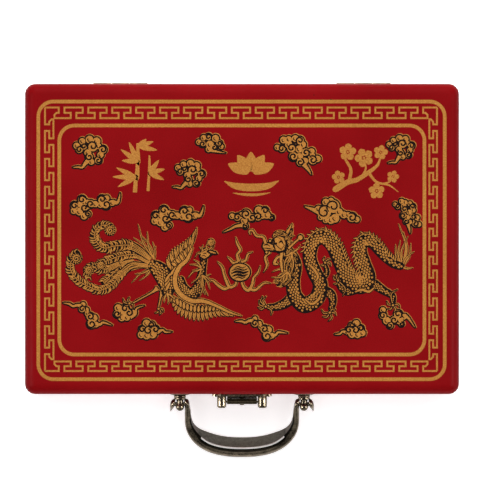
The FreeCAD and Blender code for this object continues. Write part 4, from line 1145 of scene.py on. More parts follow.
# Tail plumes: x, y and width from the root outwards.
PLUMES = [
    [(-67, -15, 3.0), (-75, -8.6, 5.6), (-83.4, -4.6, 6.6), (-93.5, -5.2, 6.8), (-101, -6.6, 6.4),
     (-106.4, -2.6, 6.0), (-108.4, 3.6, 5.6), (-105.0, 8.8, 5.2), (-100.2, 10.2, 4.8), (-96.2, 8.4, 4.2),
     (-96.6, 4.8, 3.4)],
    [(-68, -17.4, 3.0), (-78.6, -11.6, 5.6), (-89.6, -12.6, 6.2), (-97.6, -15.4, 5.6), (-104.6, -18.2, 4.6)],
    [(-69, -19.6, 3.0), (-80.6, -19.4, 5.0), (-88.6, -25.8, 5.4), (-95.6, -33.6, 5.6), (-104.4, -37.6, 5.6),
     (-113.6, -34.4, 5.6), (-121.4, -29.4, 5.4), (-125.8, -22.4, 5.2), (-125.0, -14.6, 5.2),
     (-121.6, -10.8, 4.6), (-119.6, -14.6, 3.6)],
    [(-90, -18.0, 3.6), (-97.6, -21.4, 5.4), (-104.6, -22.6, 5.0), (-110.4, -19.8, 4.4), (-114.0, -23.4, 4.4),
     (-112.8, -28.6, 3.4)],
    [(-80, -16, 3.0), (-88.4, -19.0, 4.6), (-95.6, -26.2, 4.6), (-101.6, -31.0, 4.0), (-98.4, -33.6, 2.6)],
]
PLUME_EYES = [(-96.8, 6.4, 3.3), (-121.6, -14.4, 3.5), (-112.4, -23.0, 3.0), (-103.6, -19.4, 2.8)]
TAIL_ROOT = (-64.4, -15.0)
TAIL_SPIKES = [(-79.6, 0.6), (-76.4, 10.2), (-73.4, 1.6), (-69.8, 4.8), (-65.8, -2.6), (-63.6, -5.8),
               (-84.0, -5.0)]
UNDER_TAIL = (-66.0, -21.4)
UNDER_SPIKES = [(-81.2, -32.2), (-75.4, -30.8), (-71.6, -28.4), (-78.4, -26.0), (-84.6, -24.4)]
BIRD_BODY = [(-67.4, -18.0, 5.4), (-62.6, -21.4, 10.4), (-57.6, -27.0, 12.6), (-54.8, -34.6, 10.8),
             (-54.8, -42.0, 6.0)]
BIRD_NECK = [(-46.0, -28.0, 5.0), (-43.4, -36.4, 7.4), (-37.6, -40.6, 8.0), (-32.4, -36.2, 7.6),
             (-30.0, -27.6, 5.6), (-28.6, -19.0, 4.2), (-27.4, -12.4, 3.6)]
UPPER_WING_ROOTS = [(-36.4, -3.6), (-39.4, -10.4), (-45.0, -16.6), (-52.0, -23.6)]
UPPER_WING_TIPS = [(-33.6, 7.8), (-38.0, 1.6), (-45.0, -4.0), (-51.2, -8.0), (-55.2, -14.6)]
UPPER_COVERT_ROOTS = [(-37.4, -10.6), (-41.6, -15.6), (-47.4, -20.6)]
UPPER_COVERT_TIPS = [(-38.0, -4.2), (-44.0, -9.4), (-51.6, -17.2)]
WING_ARM = [(-36.6, -6.8, 1.2), (-40.4, -15.2, 2.4), (-45.6, -20.2, 2.8), (-49.0, -27.2, 3.0),
            (-48.4, -35.4, 3.2), (-43.8, -41.6, 3.2), (-36.6, -45.4, 3.0), (-28.6, -45.6, 2.6),
            (-20.4, -48.4, 2.0), (-9.6, -53.6, 1.5), (-0.6, -56.6, 0.4)]
LOWER_WING_ROOTS = [(-50.2, -42.4), (-42.4, -46.4), (-33.0, -48.8), (-23.0, -49.6), (-13.0, -53.0)]
LOWER_WING_TIPS = [(-52.0, -46.6), (-47.8, -54.6), (-38.6, -59.2), (-29.0, -59.8), (-19.4, -57.0),
                   (-6.4, -56.6)]
LOWER_COVERT_ROOTS = LOWER_WING_ROOTS[:-1] + [(-17.6, -50.4)]
LOWER_COVERT_TIPS = [(-49.2, -46.8), (-42.4, -51.6), (-34.0, -53.8), (-25.6, -53.4), (-18.6, -52.4)]
HACKLES_LEFT = [(-38.4, -19.0), (-36.6, -23.4), (-40.0, -28.8), (-37.4, -32.8), (-35.4, -15.6)]
HACKLES_DOWN = [(-25.4, -41.6), (-24.0, -36.8), (-27.6, -40.8), (-22.8, -31.6), (-23.4, -26.4),
                (-31.0, -42.4)]

BIRD_LEGS = [[(-62.0, -36.0, 3.6), (-66.4, -39.4, 1.1), (-80.4, -47.2, 0.6)],
             [(-58.4, -38.0, 3.2), (-59.8, -43.0, 1.1), (-61.2, -49.8, 0.7)]]
BIRD_FEET = [((-82.6, -47.2), [(-87.4, -44.2), (-86.0, -48.6), (-83.0, -43.2), (-80.0, -50.2)]),
             ((-61.2, -51.2), [(-63.8, -54.4), (-60.4, -55.6), (-58.0, -53.4)])]
THIGH_ROOT = (-55.0, -40.0)
THIGH_TIPS = [(-57.4, -46.8), (-54.6, -48.0), (-52.0, -46.2), (-49.6, -44.6)]
SHOULDER_ROOTS = [(-46.2, -18.4), (-52.6, -25.0), (-52.8, -32.0)]
SHOULDER_TIPS = [(-50.4, -24.6), (-56.6, -31.6), (-56.2, -38.2)]
BIRD_HEAD = [(-30.6, -12.8), (-29.6, -8.6), (-26.6, -6.8), (-24.0, -8.2), (-22.8, -10.2), (-24.4, -12.6),
             (-27.6, -14.4)]
BIRD_CHEEKS = [[(-30.0, -12.4), (-27.8, -12.2), (-26.2, -13.4)], [(-29.6, -9.8), (-27.6, -8.4),
                                                                  (-25.4, -8.0)],
               [(-28.8, -11.0), (-27.0, -10.4), (-26.0, -11.4)]]
NAPE_TIPS = [(-34.8, -13.6), (-33.6, -10.8), (-31.4, -6.4), (-29.0, -4.8)]
CREST_TIPS = [(-22.0, -3.4), (-25.2, -2.6), (-20.6, -5.6)]


# A plume's curled end, in shares of its radius: its disc, and the spiral's start and how far it winds in.
EYE_DISC = 0.9
SPIRAL_OUT, SPIRAL_IN = 0.72, 0.6
SPIRAL_STEPS = 16
SPIRAL_START, SPIRAL_TURN = 0.8, 0.62
SPIRAL_WIDTHS = [0.75] * 15 + [0.5]
FRINGE_BARBS = 13
FRINGE_LEAN = 0.3
FRINGE_WIDTHS = [0.7, 0.3]


def curled_eye(motif, x, y, radius, level):
    """The curled end of a plume: a dark disc with a gold spiral and a fringe of short barbs."""
    motif.shape(circle(x, y, radius * EYE_DISC, 16), level)
    motif.black.plate(circle(x, y, radius * EYE_DISC, 16), level + 2)
    for barb in range(FRINGE_BARBS):
        angle = math.tau * barb / FRINGE_BARBS
        inner, outer = radius * SPIRAL_OUT, radius * random.uniform(1.05, 1.3)
        lean = angle + FRINGE_LEAN
        motif.stroke([(x + inner * math.cos(angle), y + inner * math.sin(angle)),
                      (x + outer * math.cos(lean), y + outer * math.sin(lean))],
                     FRINGE_WIDTHS, level + 3, line=0.3, steps=3)
    spiral = []
    for step in range(SPIRAL_STEPS):
        reach = radius * (SPIRAL_OUT - SPIRAL_IN * step / (SPIRAL_STEPS - 1))
        angle = SPIRAL_START + step * SPIRAL_TURN
        spiral.append((x + reach * math.cos(angle), y + reach * math.sin(angle)))
    brush(motif.gold, spiral, SPIRAL_WIDTHS, level + 5, 3)


def printed_phoenix():
    """A phoenix, from its tail up to its head; later levels cover earlier ones."""
    motif = Motif("phoenix")
    hairs(motif, TAIL_ROOT, TAIL_SPIKES, 1.7, 1, bend=0.08)
    hairs(motif, UNDER_TAIL, UNDER_SPIKES, 1.8, 1, bend=0.08)
    for index, plume in enumerate(reversed(PLUMES)):
        barbed_plume(motif, plume, 5 + 4 * (index % 3))
    for x, y, radius in PLUME_EYES:
        curled_eye(motif, x, y, radius, 17)
    for leg in BIRD_LEGS:
        motif.stroke(*split(leg), 3, line=0.9)
    for palm, tips in BIRD_FEET:
        talons(motif, palm, tips, 5)
    feathers(motif, UPPER_WING_ROOTS, UPPER_WING_TIPS, 14, (2.2, 3.0), 9)
    feathers(motif, UPPER_COVERT_ROOTS, UPPER_COVERT_TIPS, 10, (2.0, 2.6), 15, quill=0)
    scaled_body(motif, BIRD_BODY, 17, scale=1.5, pitch=2.0)
    scaled_body(motif, BIRD_NECK, 17, scale=1.25, pitch=1.8)
    hairs(motif, THIGH_ROOT, THIGH_TIPS, 2.4, 19, bend=0.1)
    feathers(motif, LOWER_WING_ROOTS, LOWER_WING_TIPS, 17, (3.0, 2.6), 9)
    feathers(motif, LOWER_COVERT_ROOTS, LOWER_COVERT_TIPS, 13, (2.5, 2.2), 15, quill=0)
    feathers(motif, SHOULDER_ROOTS, SHOULDER_TIPS, 6, (2.3, 2.3), 21, quill=0)
    motif.stroke(*split(WING_ARM), 27, line=0.6)
    for shift in (-2.0, 2.2):
        vein = [(x + shift * 0.5, y - 2.6 - shift * 0.3) for x, y, _ in WING_ARM[3:7]]
        motif.stroke(vein, [0.9] * len(vein), 25, line=0.4)
    hairs(motif, (-29.6, -21.6), HACKLES_LEFT, 1.9, 29, bend=0.12)
    hairs(motif, (-29.4, -26.6), HACKLES_DOWN, 1.9, 29, bend=0.10)
    motif.shape(leaf((-29.8, -14.6), (-20.4, -9.6), 1.6, 0.35), 31)
    motif.shape(BIRD_HEAD, 33)
    for cheek in BIRD_CHEEKS:
        motif.line(cheek, 0.7, 36, 4)
    motif.shape(leaf((-24.0, -9.0), (-19.0, -10.6), 1.3, 0.4), 37)
    hairs(motif, (-28.6, -9.0), NAPE_TIPS, 1.6, 31, bend=0.14)
    hairs(motif, (-25.2, -8.2), CREST_TIPS, 1.6, 33, bend=0.2)
    curled_eye(motif, -22.9, -2.6, 2.2, 35)
    motif.black.plate(circle(-25.4, -9.4, 0.6, 8), 38)
    motif.publish()


DRAGON_SPINE = [
    (33.5, -9.0, 9.5), (38.0, -19.0, 10.5), (37.2, -31.0, 9.6), (38.8, -41.6, 9.6), (45.6, -48.4, 11.0),
    (54.6, -43.8, 10.6), (57.4, -33.6, 10.0), (53.0, -24.0, 9.6), (49.6, -13.8, 9.2), (51.6, -3.0, 9.6),
    (59.0, 2.0, 10.6), (66.6, -4.0, 10.6), (71.6, -15.4, 10.2), (77.8, -27.6, 11.0), (86.6, -34.2, 11.6),
    (92.2, -28.6, 10.6), (89.2, -18.2, 9.6), (86.4, -8.0, 9.2), (89.8, -0.4, 9.0), (96.6, -3.2, 8.2),
    (103.6, -11.4, 6.8), (111.2, -18.0, 5.6), (118.0, -20.4, 4.4)]
TAIL_FLAMES = [(114.8, 10.6), (112.4, -4.6), (118.4, 4.6), (121.4, 1.4), (123.6, -3.6), (126.0, -9.6),
               (125.0, -21.4), (115.8, -1.6)]
DRAGON_LEGS = [
    ([(39.4, -41.0, 8.0), (31.4, -47.4, 6.6), (24.0, -50.0, 4.6), (18.4, -49.8, 3.4)],
     (17.4, -49.6), [(12.4, -45.6), (14.8, -42.4), (11.8, -50.4), (21.2, -55.6), (17.2, -42.6)]),
    ([(58.0, -37.0, 6.6), (65.0, -40.6, 6.0), (66.6, -46.8, 4.4), (64.8, -52.4, 3.2)],
     (64.4, -54.0), [(58.4, -52.4), (59.4, -57.2), (63.4, -60.2), (68.6, -56.0), (68.2, -51.8)]),
    ([(84.0, -36.6, 6.6), (76.8, -38.6, 5.0), (71.8, -34.8, 3.6), (70.6, -31.0, 2.8)],
     (70.4, -30.4), [(67.2, -27.4), (70.4, -25.8), (73.2, -27.6), (67.4, -33.2), (74.0, -41.6)]),
    ([(96.0, -32.6, 7.0), (104.0, -38.0, 5.0), (110.2, -41.8, 4.0), (110.8, -47.6, 3.0)],
     (110.8, -48.6), [(106.2, -46.0), (107.0, -51.4), (111.4, -53.8), (115.6, -50.2), (113.6, -37.4)]),
    ([(59.0, -29.0, 4.4), (62.2, -24.2, 3.2), (60.6, -18.6, 2.6)],
     (61.0, -17.4), [(58.0, -19.4), (60.4, -13.6), (64.6, -15.4), (64.8, -19.6)]),
]
MANE_ROOT = (36.6, -9.6)
MANE_TIPS = [(33.0, -15.0), (31.6, -20.0), (31.0, -25.0), (32.4, -30.6), (35.4, -34.0), (30.0, -12.4),
             (42.4, -4.8), (40.6, -13.0)]
MANE = [(33.6, -6.4, 4.0), (35.6, -12.0, 7.4), (35.0, -20.0, 9.4), (33.0, -27.0, 9.6), (29.0, -31.4, 7.6),
        (24.4, -30.6, 3.0)]
FLAMES_ROOT = (117.6, -20.6)
# The side, the stretch of the body and the height of its spines.
DRAGON_RIDGE = (1, 0.40, 0.97, 2.6)
DRAGON_SWIRLS = [[(46.0, -44.0), (51.0, -47.6), (56.0, -44.4), (58.6, -38.6)],
                 [(83.0, -38.8), (88.0, -37.2), (93.0, -38.6), (97.6, -35.4)],
                 [(48.6, -18.0), (52.6, -22.0), (55.8, -27.6), (53.2, -31.6)]]
HORNS = [[(29.6, -0.6, 2.6), (33.0, 4.4, 2.0), (36.4, 10.8, 0.5)],
         [(34.0, -7.0, 1.4), (38.6, -2.6, 1.2), (42.4, 0.6, 1.0)]]
HORN_KNOB = (42.8, 1.0, 1.7)
HORN_FUR = [(31.6, -2.0, 4.0), (34.2, 2.6, 5.2), (35.6, 7.6, 3.0), (36.6, 10.4, 1.0)]
FORELOCK_ROOT = (31.4, -1.2)
FORELOCK_TIPS = [(36.6, 6.0), (38.2, 2.2), (33.0, 7.4), (37.4, -2.6)]
SKULL = [(22.4, -6.4), (23.0, -0.6), (26.4, 2.2), (31.2, 0.8), (33.4, -3.6), (31.6, -8.4), (27.0, -9.6)]
SNOUT = [(15.2, -5.6), (16.0, -2.6), (19.4, -3.2), (23.0, -4.8), (24.0, -8.6), (19.6, -8.0), (17.0, -8.4)]
EYELID = [(24.0, 0.6), (26.2, 1.2), (28.6, -0.6), (30.8, -4.6), (28.8, -7.4), (26.0, -5.0), (24.2, -3.0)]
PUPIL = (25.0, -3.4, 0.9)
SKULL_MARKS = [[(22.6, -7.8), (26.4, -9.4), (30.6, -8.8), (33.2, -5.4)], [(22.8, -6.4), (23.6, -3.2),
                                                                          (23.2, -0.4)],
               [(22.8, 1.2), (26.0, 3.2), (30.4, 2.2), (33.2, -0.6)], [(31.0, 0.0), (32.6, -3.6),
                                                                       (31.2, -7.0)],
               [(27.0, -3.0), (28.8, -1.6), (30.0, -3.4)]]
SNOUT_MARKS = [[(16.0, -5.0), (18.2, -4.0), (20.4, -5.4)], [(15.8, -6.6), (19.0, -7.0), (22.4, -7.4)],
               [(18.6, -2.4), (19.2, -4.4)]]
NOSTRILS = [(20.6, -1.4, 0.8), (18.0, -9.8, 0.8)]
EYEBROW = [(22.6, 1.4, 1.6), (25.4, 4.0, 3.0), (29.6, 3.8, 3.6), (33.4, 0.8, 3.0), (34.4, -3.6, 1.6)]
WHISKERS = [[(17.4, -3.6, 1.8), (15.4, 1.4, 1.5), (10.6, 2.2, 1.3), (7.6, 6.2, 1.2), (5.2, 5.6, 1.0),
             (5.8, 3.2, 0.3)],
            [(20.6, -9.6, 1.7), (17.0, -13.4, 1.4), (18.2, -19.4, 1.3), (15.8, -24.4, 0.2)],
            [(29.4, -9.4, 2.0), (28.6, -15.4, 1.9), (29.6, -24.6, 1.2)],
            [(28.8, -12.4, 1.2), (25.6, -14.0, 1.6), (23.8, -17.8, 2.0), (26.4, -18.6, 0.8)]]
BEARD_ROOT = (33.4, -24.0)
BEARD_TIPS = [(22.0, -24.4), (21.6, -28.4), (24.2, -31.4), (27.6, -33.8), (31.0, -34.4), (34.8, -31.6)]


def printed_dragon():
    """A dragon, from its tail and legs up to its head; later levels cover earlier ones."""
    motif = Motif("dragon")
    hairs(motif, FLAMES_ROOT, TAIL_FLAMES, 2.2, 1, bend=0.12)
    for limb, palm, claws in DRAGON_LEGS:
        scaled_body(motif, limb, 3, scale=1.25, pitch=1.75)
        talons(motif, palm, claws, 6)
    scaled_body(motif, DRAGON_SPINE, 9, scale=1.6, pitch=2.15, ridge=DRAGON_RIDGE)
    for swirl in DRAGON_SWIRLS:
        motif.stroke(swirl, [0.8, 1.6, 1.6, 0.5], 12, line=0.5)
    shaggy(motif, MANE, 12)
    hairs(motif, MANE_ROOT, MANE_TIPS, 2.0, 15, bend=0.14)
    hairs(motif, BEARD_ROOT, BEARD_TIPS, 2.2, 15, bend=0.16)
    for horn in HORNS:
        motif.stroke(*split(horn), 17, line=0.7)
    motif.shape(circle(*HORN_KNOB, 12), 17)
    shaggy(motif, HORN_FUR, 15)
    hairs(motif, FORELOCK_ROOT, FORELOCK_TIPS, 1.9, 17, bend=0.1)
    motif.shape(SKULL, 19)
    motif.shape(SNOUT, 21)
    motif.shape(EYELID, 23, line=0.5)
    motif.black.plate(circle(*PUPIL, 10), 26)
    for mark in SKULL_MARKS:
        motif.line(mark, 1.5, 26, 4)
    for mark in SNOUT_MARKS:
        motif.line(mark, 0.9, 26, 4)
    for nostril in NOSTRILS:
        motif.shape(circle(*nostril, 10), 27, line=0.9)
    shaggy(motif, EYEBROW, 27)
    for whisker in WHISKERS:
        motif.stroke(*split(whisker), 23, line=0.6)
    motif.publish()


# ---------------------------------------------------------------- printed ornaments

def strokes(ink, x, y, marks):
    """Flat brush marks beside a place; each is a list of x, y and width."""
    for mark in marks:
        places, widths = split(mark)
        brush(ink, [(x + px, y + py) for px, py in places], widths, 3, 8)


# A petal's root and width and the heart, in shares of the blossom's radius.
BLOSSOM_ROOT, BLOSSOM_PETAL, BLOSSOM_HEART = 0.22, 0.78, 0.13


def blossom(ink, x, y, radius, turn):
    """Five brushed petals round a small heart."""
    centre = np.array((x, y))
    for petal in range(5):
        angle = math.radians(turn + 72 * petal)
        way = np.array((math.cos(angle), math.sin(angle)))
        root, tip = centre + way * radius * BLOSSOM_ROOT, centre + way * radius
        ink.plate(leaf(root, tip, radius * BLOSSOM_PETAL, 0.62), 3)
    ink.plate(circle(x, y, radius * BLOSSOM_HEART, 10), 4)


BAMBOO_STALKS = [
    [(-1.0, -18.6, 3.2), (-0.2, -8, 2.8), (0.6, -7.2, 3.4), (1.0, 3.4, 2.6), (1.4, 4.2, 3.2),
     (1.0, 17.6, 1.8)],
    [(8.6, -17.6, 2.2), (9.4, -5.0, 1.9), (9.8, -4.2, 2.5), (9.6, 8.6, 1.2)]]
BAMBOO_SPRAYS = [((-0.4, -7.4), [(-13.6, -14.6), (-17.4, -7.2), (-14.8, -0.4)]),
                 ((1.2, 4.0), [(-10.6, 4.8), (-11.4, 13.0), (-5.4, 18.4)]),
                 ((9.6, -4.4), [(20.4, -9.4), (21.0, -1.4), (16.6, 5.2)]),
                 ((1.6, 15.0), [(12.6, 18.8), (15.4, 12.4), (7.4, 20.6)])]
BAMBOO_LEAF = 3.7


def bamboo(ink, x, y):
    strokes(ink, x, y, BAMBOO_STALKS)
    for root, tips in BAMBOO_SPRAYS:
        for tip in tips:
            ink.plate(leaf((x + root[0], y + root[1]), (x + tip[0], y + tip[1]), BAMBOO_LEAF, 0.42), 3)


# Two rows of petals: length, width, level and how far each petal leans from upright, in degrees.
LOTUS_PETALS = [(17.0, 8.4, 3, (-62, -31, 0, 31, 62)), (11.6, 7.0, 4, (-46, -15, 15, 46))]
LOTUS_HEART_LOW, LOTUS_HEART = 5.0, 2.2
LOTUS_SPREAD = 1.15
LOTUS_GAP = 0.4
LOTUS_WATER = [
    [(-19.6, -10.0, 0.6), (-11.6, -13.4, 4.6), (0, -14.6, 5.6), (12.2, -13.4, 4.6), (20.4, -9.6, 0.6)],
    [(-13.4, -18.6, 0.5), (-4.4, -19.8, 1.9), (5.4, -19.8, 1.9), (14.2, -18.4, 0.5)]]


def lotus(ink, x, y):
    low = y - LOTUS_HEART_LOW
    for reach, wide, level, leans in LOTUS_PETALS:
        for lean in leans:
            angle = math.radians(90 + lean)
            root = (x + LOTUS_HEART * math.cos(angle), low + LOTUS_HEART * math.sin(angle))
            tip = (x + reach * math.cos(angle) * LOTUS_SPREAD, low + reach * math.sin(angle))
            ink.plate(grown(leaf(root, tip, wide, 0.55), -LOTUS_GAP), level)
    strokes(ink, x, y, LOTUS_WATER)


PLUM_LIMBS = [
    [(-23.4, -14.9, 1.2), (-21.4, -13.6, 4.4), (-13.0, -8.6, 4.0), (-5.6, -6.6, 3.4), (2.8, -1.2, 3.0),
     (9.4, 4.4, 2.0), (12.2, 12.8, 0.6)],
    [(-11.6, -8.2, 2.6), (-10.4, 1.0, 2.2), (-14.6, 9.6, 1.6), (-13.0, 18.4, 0.5)],
    [(2.6, -1.4, 2.2), (8.6, -8.4, 1.9), (17.4, -10.6, 1.4), (24.6, -15.6, 0.4)],
    [(-2.6, -5.0, 1.6), (0.6, 1.6, 1.4), (-0.6, 9.4, 0.9)],
    [(13.4, -9.6, 1.3), (18.0, -8.2, 1.2), (20.6, -4.4, 0.8)]]
# Place, radius and turn in degrees.
PLUM_BLOSSOMS = [(-12.6, 13.6, 6.4, 12), (-0.6, 9.4, 7.0, 40), (11.6, 13.4, 5.4, 5), (-19.4, -4.8, 5.0, 30),
                 (8.6, -15.0, 6.0, 20), (20.6, -4.4, 4.6, 0)]


def plum_branch(ink, x, y):
    strokes(ink, x, y, PLUM_LIMBS)
    for px, py, radius, turn in PLUM_BLOSSOMS:
        blossom(ink, x + px, y + py, radius, turn)


# The few dark specks on the lid: place and radius.
SPECKS = [(65.3, 102.0, 0.85), (52.8, 105.7, 0.4), (-129.0, -98.6, 0.35), (149.6, 41.0, 0.35)]


def dark_specks():
    ink = Ink("dark_specks", BLACK)
    for x, y, radius in SPECKS:
        ink.plate(circle(x, y, radius, 9), 1)
    ink.publish()


def printed_ornaments():
    ink = Ink("ornaments_gold", GOLD)
    bamboo(ink, -77.6, 52.8)
    lotus(ink, 6.6, 52.4)
    plum_branch(ink, 90.2, 50.2)
    ink.publish()


# ---------------------------------------------------------------- turned and cast fittings

WALL = -HALF_DEEP


def lathe(name, profile, x, z, body, node, steps=40):
    """A bronze piece turned about a line along Y; the profile is (distance out from the wall, radius)."""
    rings = [[(px, WALL - out, pz) for px, pz in circle(x, z, radius, steps)] for out, radius in profile]
    points, faces = closed_loft(rings)
    item = piece(name, points, faces, BRONZE, body, smooth_angle=40)
    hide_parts(node)


# The handle's pivots, out from the wall and up from the ground, its droop at rest, and its posts across.
HANDLE_PIVOT_OUT = 8.0
HANDLE_PIVOT_HIGH = 27.4
HANDLE_DROOP = math.radians(29)
POST_X = 46.25
POST_PROFILE = [
    (-8.5, 2.0), (2.1, 2.0), (2.1, 3.9), (2.25, 4.3), (2.6, 4.5), (3.3, 4.5), (3.6, 4.3), (3.75, 4.05),
    (3.9, 4.3), (4.3, 4.45), (4.8, 4.3), (5.05, 3.7), (5.2, 3.0), (5.5, 2.7), (6.2, 2.6), (8.3, 2.55),
    (8.8, 2.65), (9.2, 2.9), (9.8, 3.12), (10.6, 3.2), (11.5, 3.05), (12.4, 2.55), (13.1, 1.9),
    (13.55, 1.1), (13.8, 0.05)]
ROSETTE_PROFILE = [
    (0.0, 8.5), (0.7, 8.5), (1.1, 8.25), (1.35, 7.7), (1.4, 7.1), (1.5, 6.7), (1.75, 6.2), (2.0, 5.4),
    (2.15, 4.7), (2.2, 4.2), (1.8, 2.06)]
LATCH_X = 15.0
LATCH_HIGH = 58.0
LATCH_POST_PROFILE = [
    (-6.0, 1.5), (1.5, 1.5), (1.5, 3.0), (1.65, 3.25), (2.1, 3.42), (3.2, 3.45), (8.4, 3.42), (9.1, 3.32),
    (9.65, 3.05), (10.0, 2.65), (10.2, 2.2), (10.3, 1.6), (10.3, 0.05)]


def turned_posts():
    """The handle's posts and rosettes on the front wall, and the latch's posts above them."""
    for name, side in SIDES:
        x = side * POST_X
        lathe(f"{name}_post", POST_PROFILE, x, HANDLE_PIVOT_HIGH, "base", f"{name}_handle_post")
        lathe(f"{name}_rosette", ROSETTE_PROFILE, x, HANDLE_PIVOT_HIGH, "base", f"{name}_handle_rosette", 48)
        lathe(f"{name}_barrel_post", LATCH_POST_PROFILE, side * LATCH_X, LATCH_HIGH, "lid",
              f"{name}_latch_post")


def in_handle(x, out, up):
    """A place on the handle: across, out from the pivot line along the handle, and up from its plane."""
    cos, sin = math.cos(HANDLE_DROOP), math.sin(HANDLE_DROOP)
    return (x, WALL - HANDLE_PIVOT_OUT - out * cos - up * sin, HANDLE_PIVOT_HIGH - out * sin + up * cos)


# The handle seen flat: the legs' outer and inner edges across, the grip's outer and inner edges out.
GRIP_LEG_OUT = 42.75
GRIP_LEG_IN = 38.15
GRIP_CROWN = 45.7
GRIP_RIM = 34.2
# How far out the legs' outer and inner edges start to bend into the grip.
OUTER_BEND = 14.0
INNER_BEND = 9.0
# Half widths of a leg and of the grip, and the shares of the bow over which one grows into the other.
LEG_HALF, GRIP_HALF = 3.1, 8.0
SWELL_START, SWELL_LONG = 0.12, 0.55
HOLLOW_START, HOLLOW_LONG = 0.36, 0.10
GRIP_WALL = 1.25
RIM_EDGE = 0.95
RIM_SHARE = 0.2
# How a rim's corner is cut, and how deep the round of the back and of the hollow is in half widths.
RIM_CUT = 0.3
BACK_ROUND, HOLLOW_ROUND = 0.8, 0.7
LEAST_HOLLOW, LEAST_SHOULDER = 0.1, 0.05
# The bow follows a superellipse.
GRIP_FULLNESS = 2 / 2.3
# How much of the flat top carries the painted dark reflection, in a leg and in the grip.
DARK_LEG, DARK_GRIP = 0.25, 0.66
SECTION_STEPS = 14
BOW_STEPS = 34
# The top of a leg: place out, inner and outer edge across, and half width.
LEG_TOP = [(-3.32, 42.3, 43.0, 0.5), (-3.0, 41.4, 43.15, 1.7), (-2.3, 40.5, 43.1, 2.6),
           (-1.2, 39.8, 42.9, 3.2), (0.0, 39.35, 42.75, 3.4), (1.6, 39.1, 42.75, 3.3),
           (3.6, 38.8, 42.75, 3.15), (5.6, 38.5, 42.75, 3.1), (7.4, 38.25, 42.75, 3.1)]


def grip_stations():
    """Inner and outer place, half width and hollowness along one half of the handle."""
    stations = [((inner, out), (outer, out), half, 0.0) for out, inner, outer, half in LEG_TOP]
    for step in range(BOW_STEPS + 1):
        share = step / BOW_STEPS
        angle = math.pi / 2 * step / BOW_STEPS
        across = math.cos(angle) ** GRIP_FULLNESS if step < BOW_STEPS else 0.0
        down = math.sin(angle) ** GRIP_FULLNESS
        inner = (GRIP_LEG_IN * across, INNER_BEND + (GRIP_RIM - INNER_BEND) * down)
        outer = (GRIP_LEG_OUT * across, OUTER_BEND + (GRIP_CROWN - OUTER_BEND) * down)
        swell = clamp((share - SWELL_START) / SWELL_LONG)
        half = LEG_HALF + (GRIP_HALF - LEG_HALF) * (1 - math.cos(swell * math.pi)) / 2
        hollow = clamp((share - HOLLOW_START) / HOLLOW_LONG)
        stations.append((inner, outer, half, hollow * hollow * (3 - 2 * hollow)))
    return stations


def grip_ring(station, side):
    """The section at a station: a thin rim, a round back and, where it is hollow, the hollow's wall."""
    (inner_x, inner_out), (outer_x, outer_out), half, hollow = station
    deep = math.hypot(outer_x - inner_x, outer_out - inner_out)
    across = ((outer_x - inner_x) / deep, (outer_out - inner_out) / deep)
    edge = min(RIM_EDGE, half * RIM_SHARE)
    shoulder = max(edge, deep - BACK_ROUND * half)
    section = []
    for step in range(SECTION_STEPS + 1):
        angle = math.pi * (0.5 - step / SECTION_STEPS)
        section.append((shoulder + (deep - shoulder) * math.cos(angle), half * math.sin(angle)))
    section += [(edge, -half), (edge * RIM_CUT, -half + edge * RIM_CUT), (0.0, -half + edge)]
    wall = min(GRIP_WALL, half * 0.5)
    inside_half = half - wall
    inside_deep = max(deep - wall, LEAST_HOLLOW)
    inside_shoulder = max(LEAST_SHOULDER, inside_deep - HOLLOW_ROUND * inside_half)
    for step in range(SECTION_STEPS + 1):
        angle = math.pi * (step / SECTION_STEPS - 0.5)
        depth = inside_shoulder + (inside_deep - inside_shoulder) * math.cos(angle)
        section.append((depth * hollow, inside_half * math.sin(angle)))
    dark = DARK_LEG + (DARK_GRIP - DARK_LEG) * hollow
    section += [(0.0, half - edge), (edge * RIM_CUT, half - edge * RIM_CUT), (edge, half),
                (edge + (shoulder - edge) * dark, half)]
    return [in_handle(side * (inner_x + across[0] * depth), inner_out + across[1] * depth, up)
            for depth, up in section]


# The hooked ear outside a post: place out, near and far edge from the post's axis, half width, and rise.
CLAW = [(-3.32, 3.3, 4.2, 0.5, 0.0), (-2.9, 3.3, 5.2, 1.9, 0.0), (-2.0, 3.4, 6.2, 2.8, 0.0),
        (-0.8, 3.5, 6.9, 3.3, 0.0), (0.6, 3.6, 7.3, 3.4, 0.0), (2.0, 3.9, 7.5, 3.1, -0.3),
        (3.4, 4.4, 7.5, 2.6, -0.8), (4.8, 5.1, 7.45, 1.9, -1.4), (6.2, 5.7, 7.45, 1.4, -2.0),
        (7.5, 6.3, 7.4, 0.9, -2.6), (8.6, 6.8, 7.3, 0.4, -3.1), (9.0, 6.95, 7.2, 0.12, -3.3)]
CLAW_SIDES = 20
# The strap below a post that joins its two ears: across from the axis, and up.
STRAP = [(-6.0, -2.2), (-5.7, -3.9), (-4.6, -5.3), (-2.6, -6.0), (0.0, -6.2), (2.6, -6.0), (4.6, -5.3),
         (5.7, -3.9), (6.0, -2.2)]
STRAP_NEAR, STRAP_FAR, STRAP_THICK = 2.9, 5.6, 1.3
STRAP_TRIM = 0.9
STRAP_SWELL = 1.25
STRAP_NEAR_ROUND, STRAP_FAR_ROUND = STRAP_NEAR + 0.4, STRAP_FAR - 0.4
# Its section: place out, and height off the middle in half thicknesses.
STRAP_SECTION = [(STRAP_NEAR, 1), (STRAP_NEAR_ROUND, STRAP_SWELL), (STRAP_FAR_ROUND, STRAP_SWELL),
                 (STRAP_FAR, 1), (STRAP_FAR, -1), (STRAP_FAR_ROUND, -1), (STRAP_NEAR_ROUND, -1),
                 (STRAP_NEAR, -1)]
# The handle's materials after plain bronze, in the order they are added.
ROUGH, RIM_HIGHLIGHT, DARK_REFLECTION = 1, 2, 3
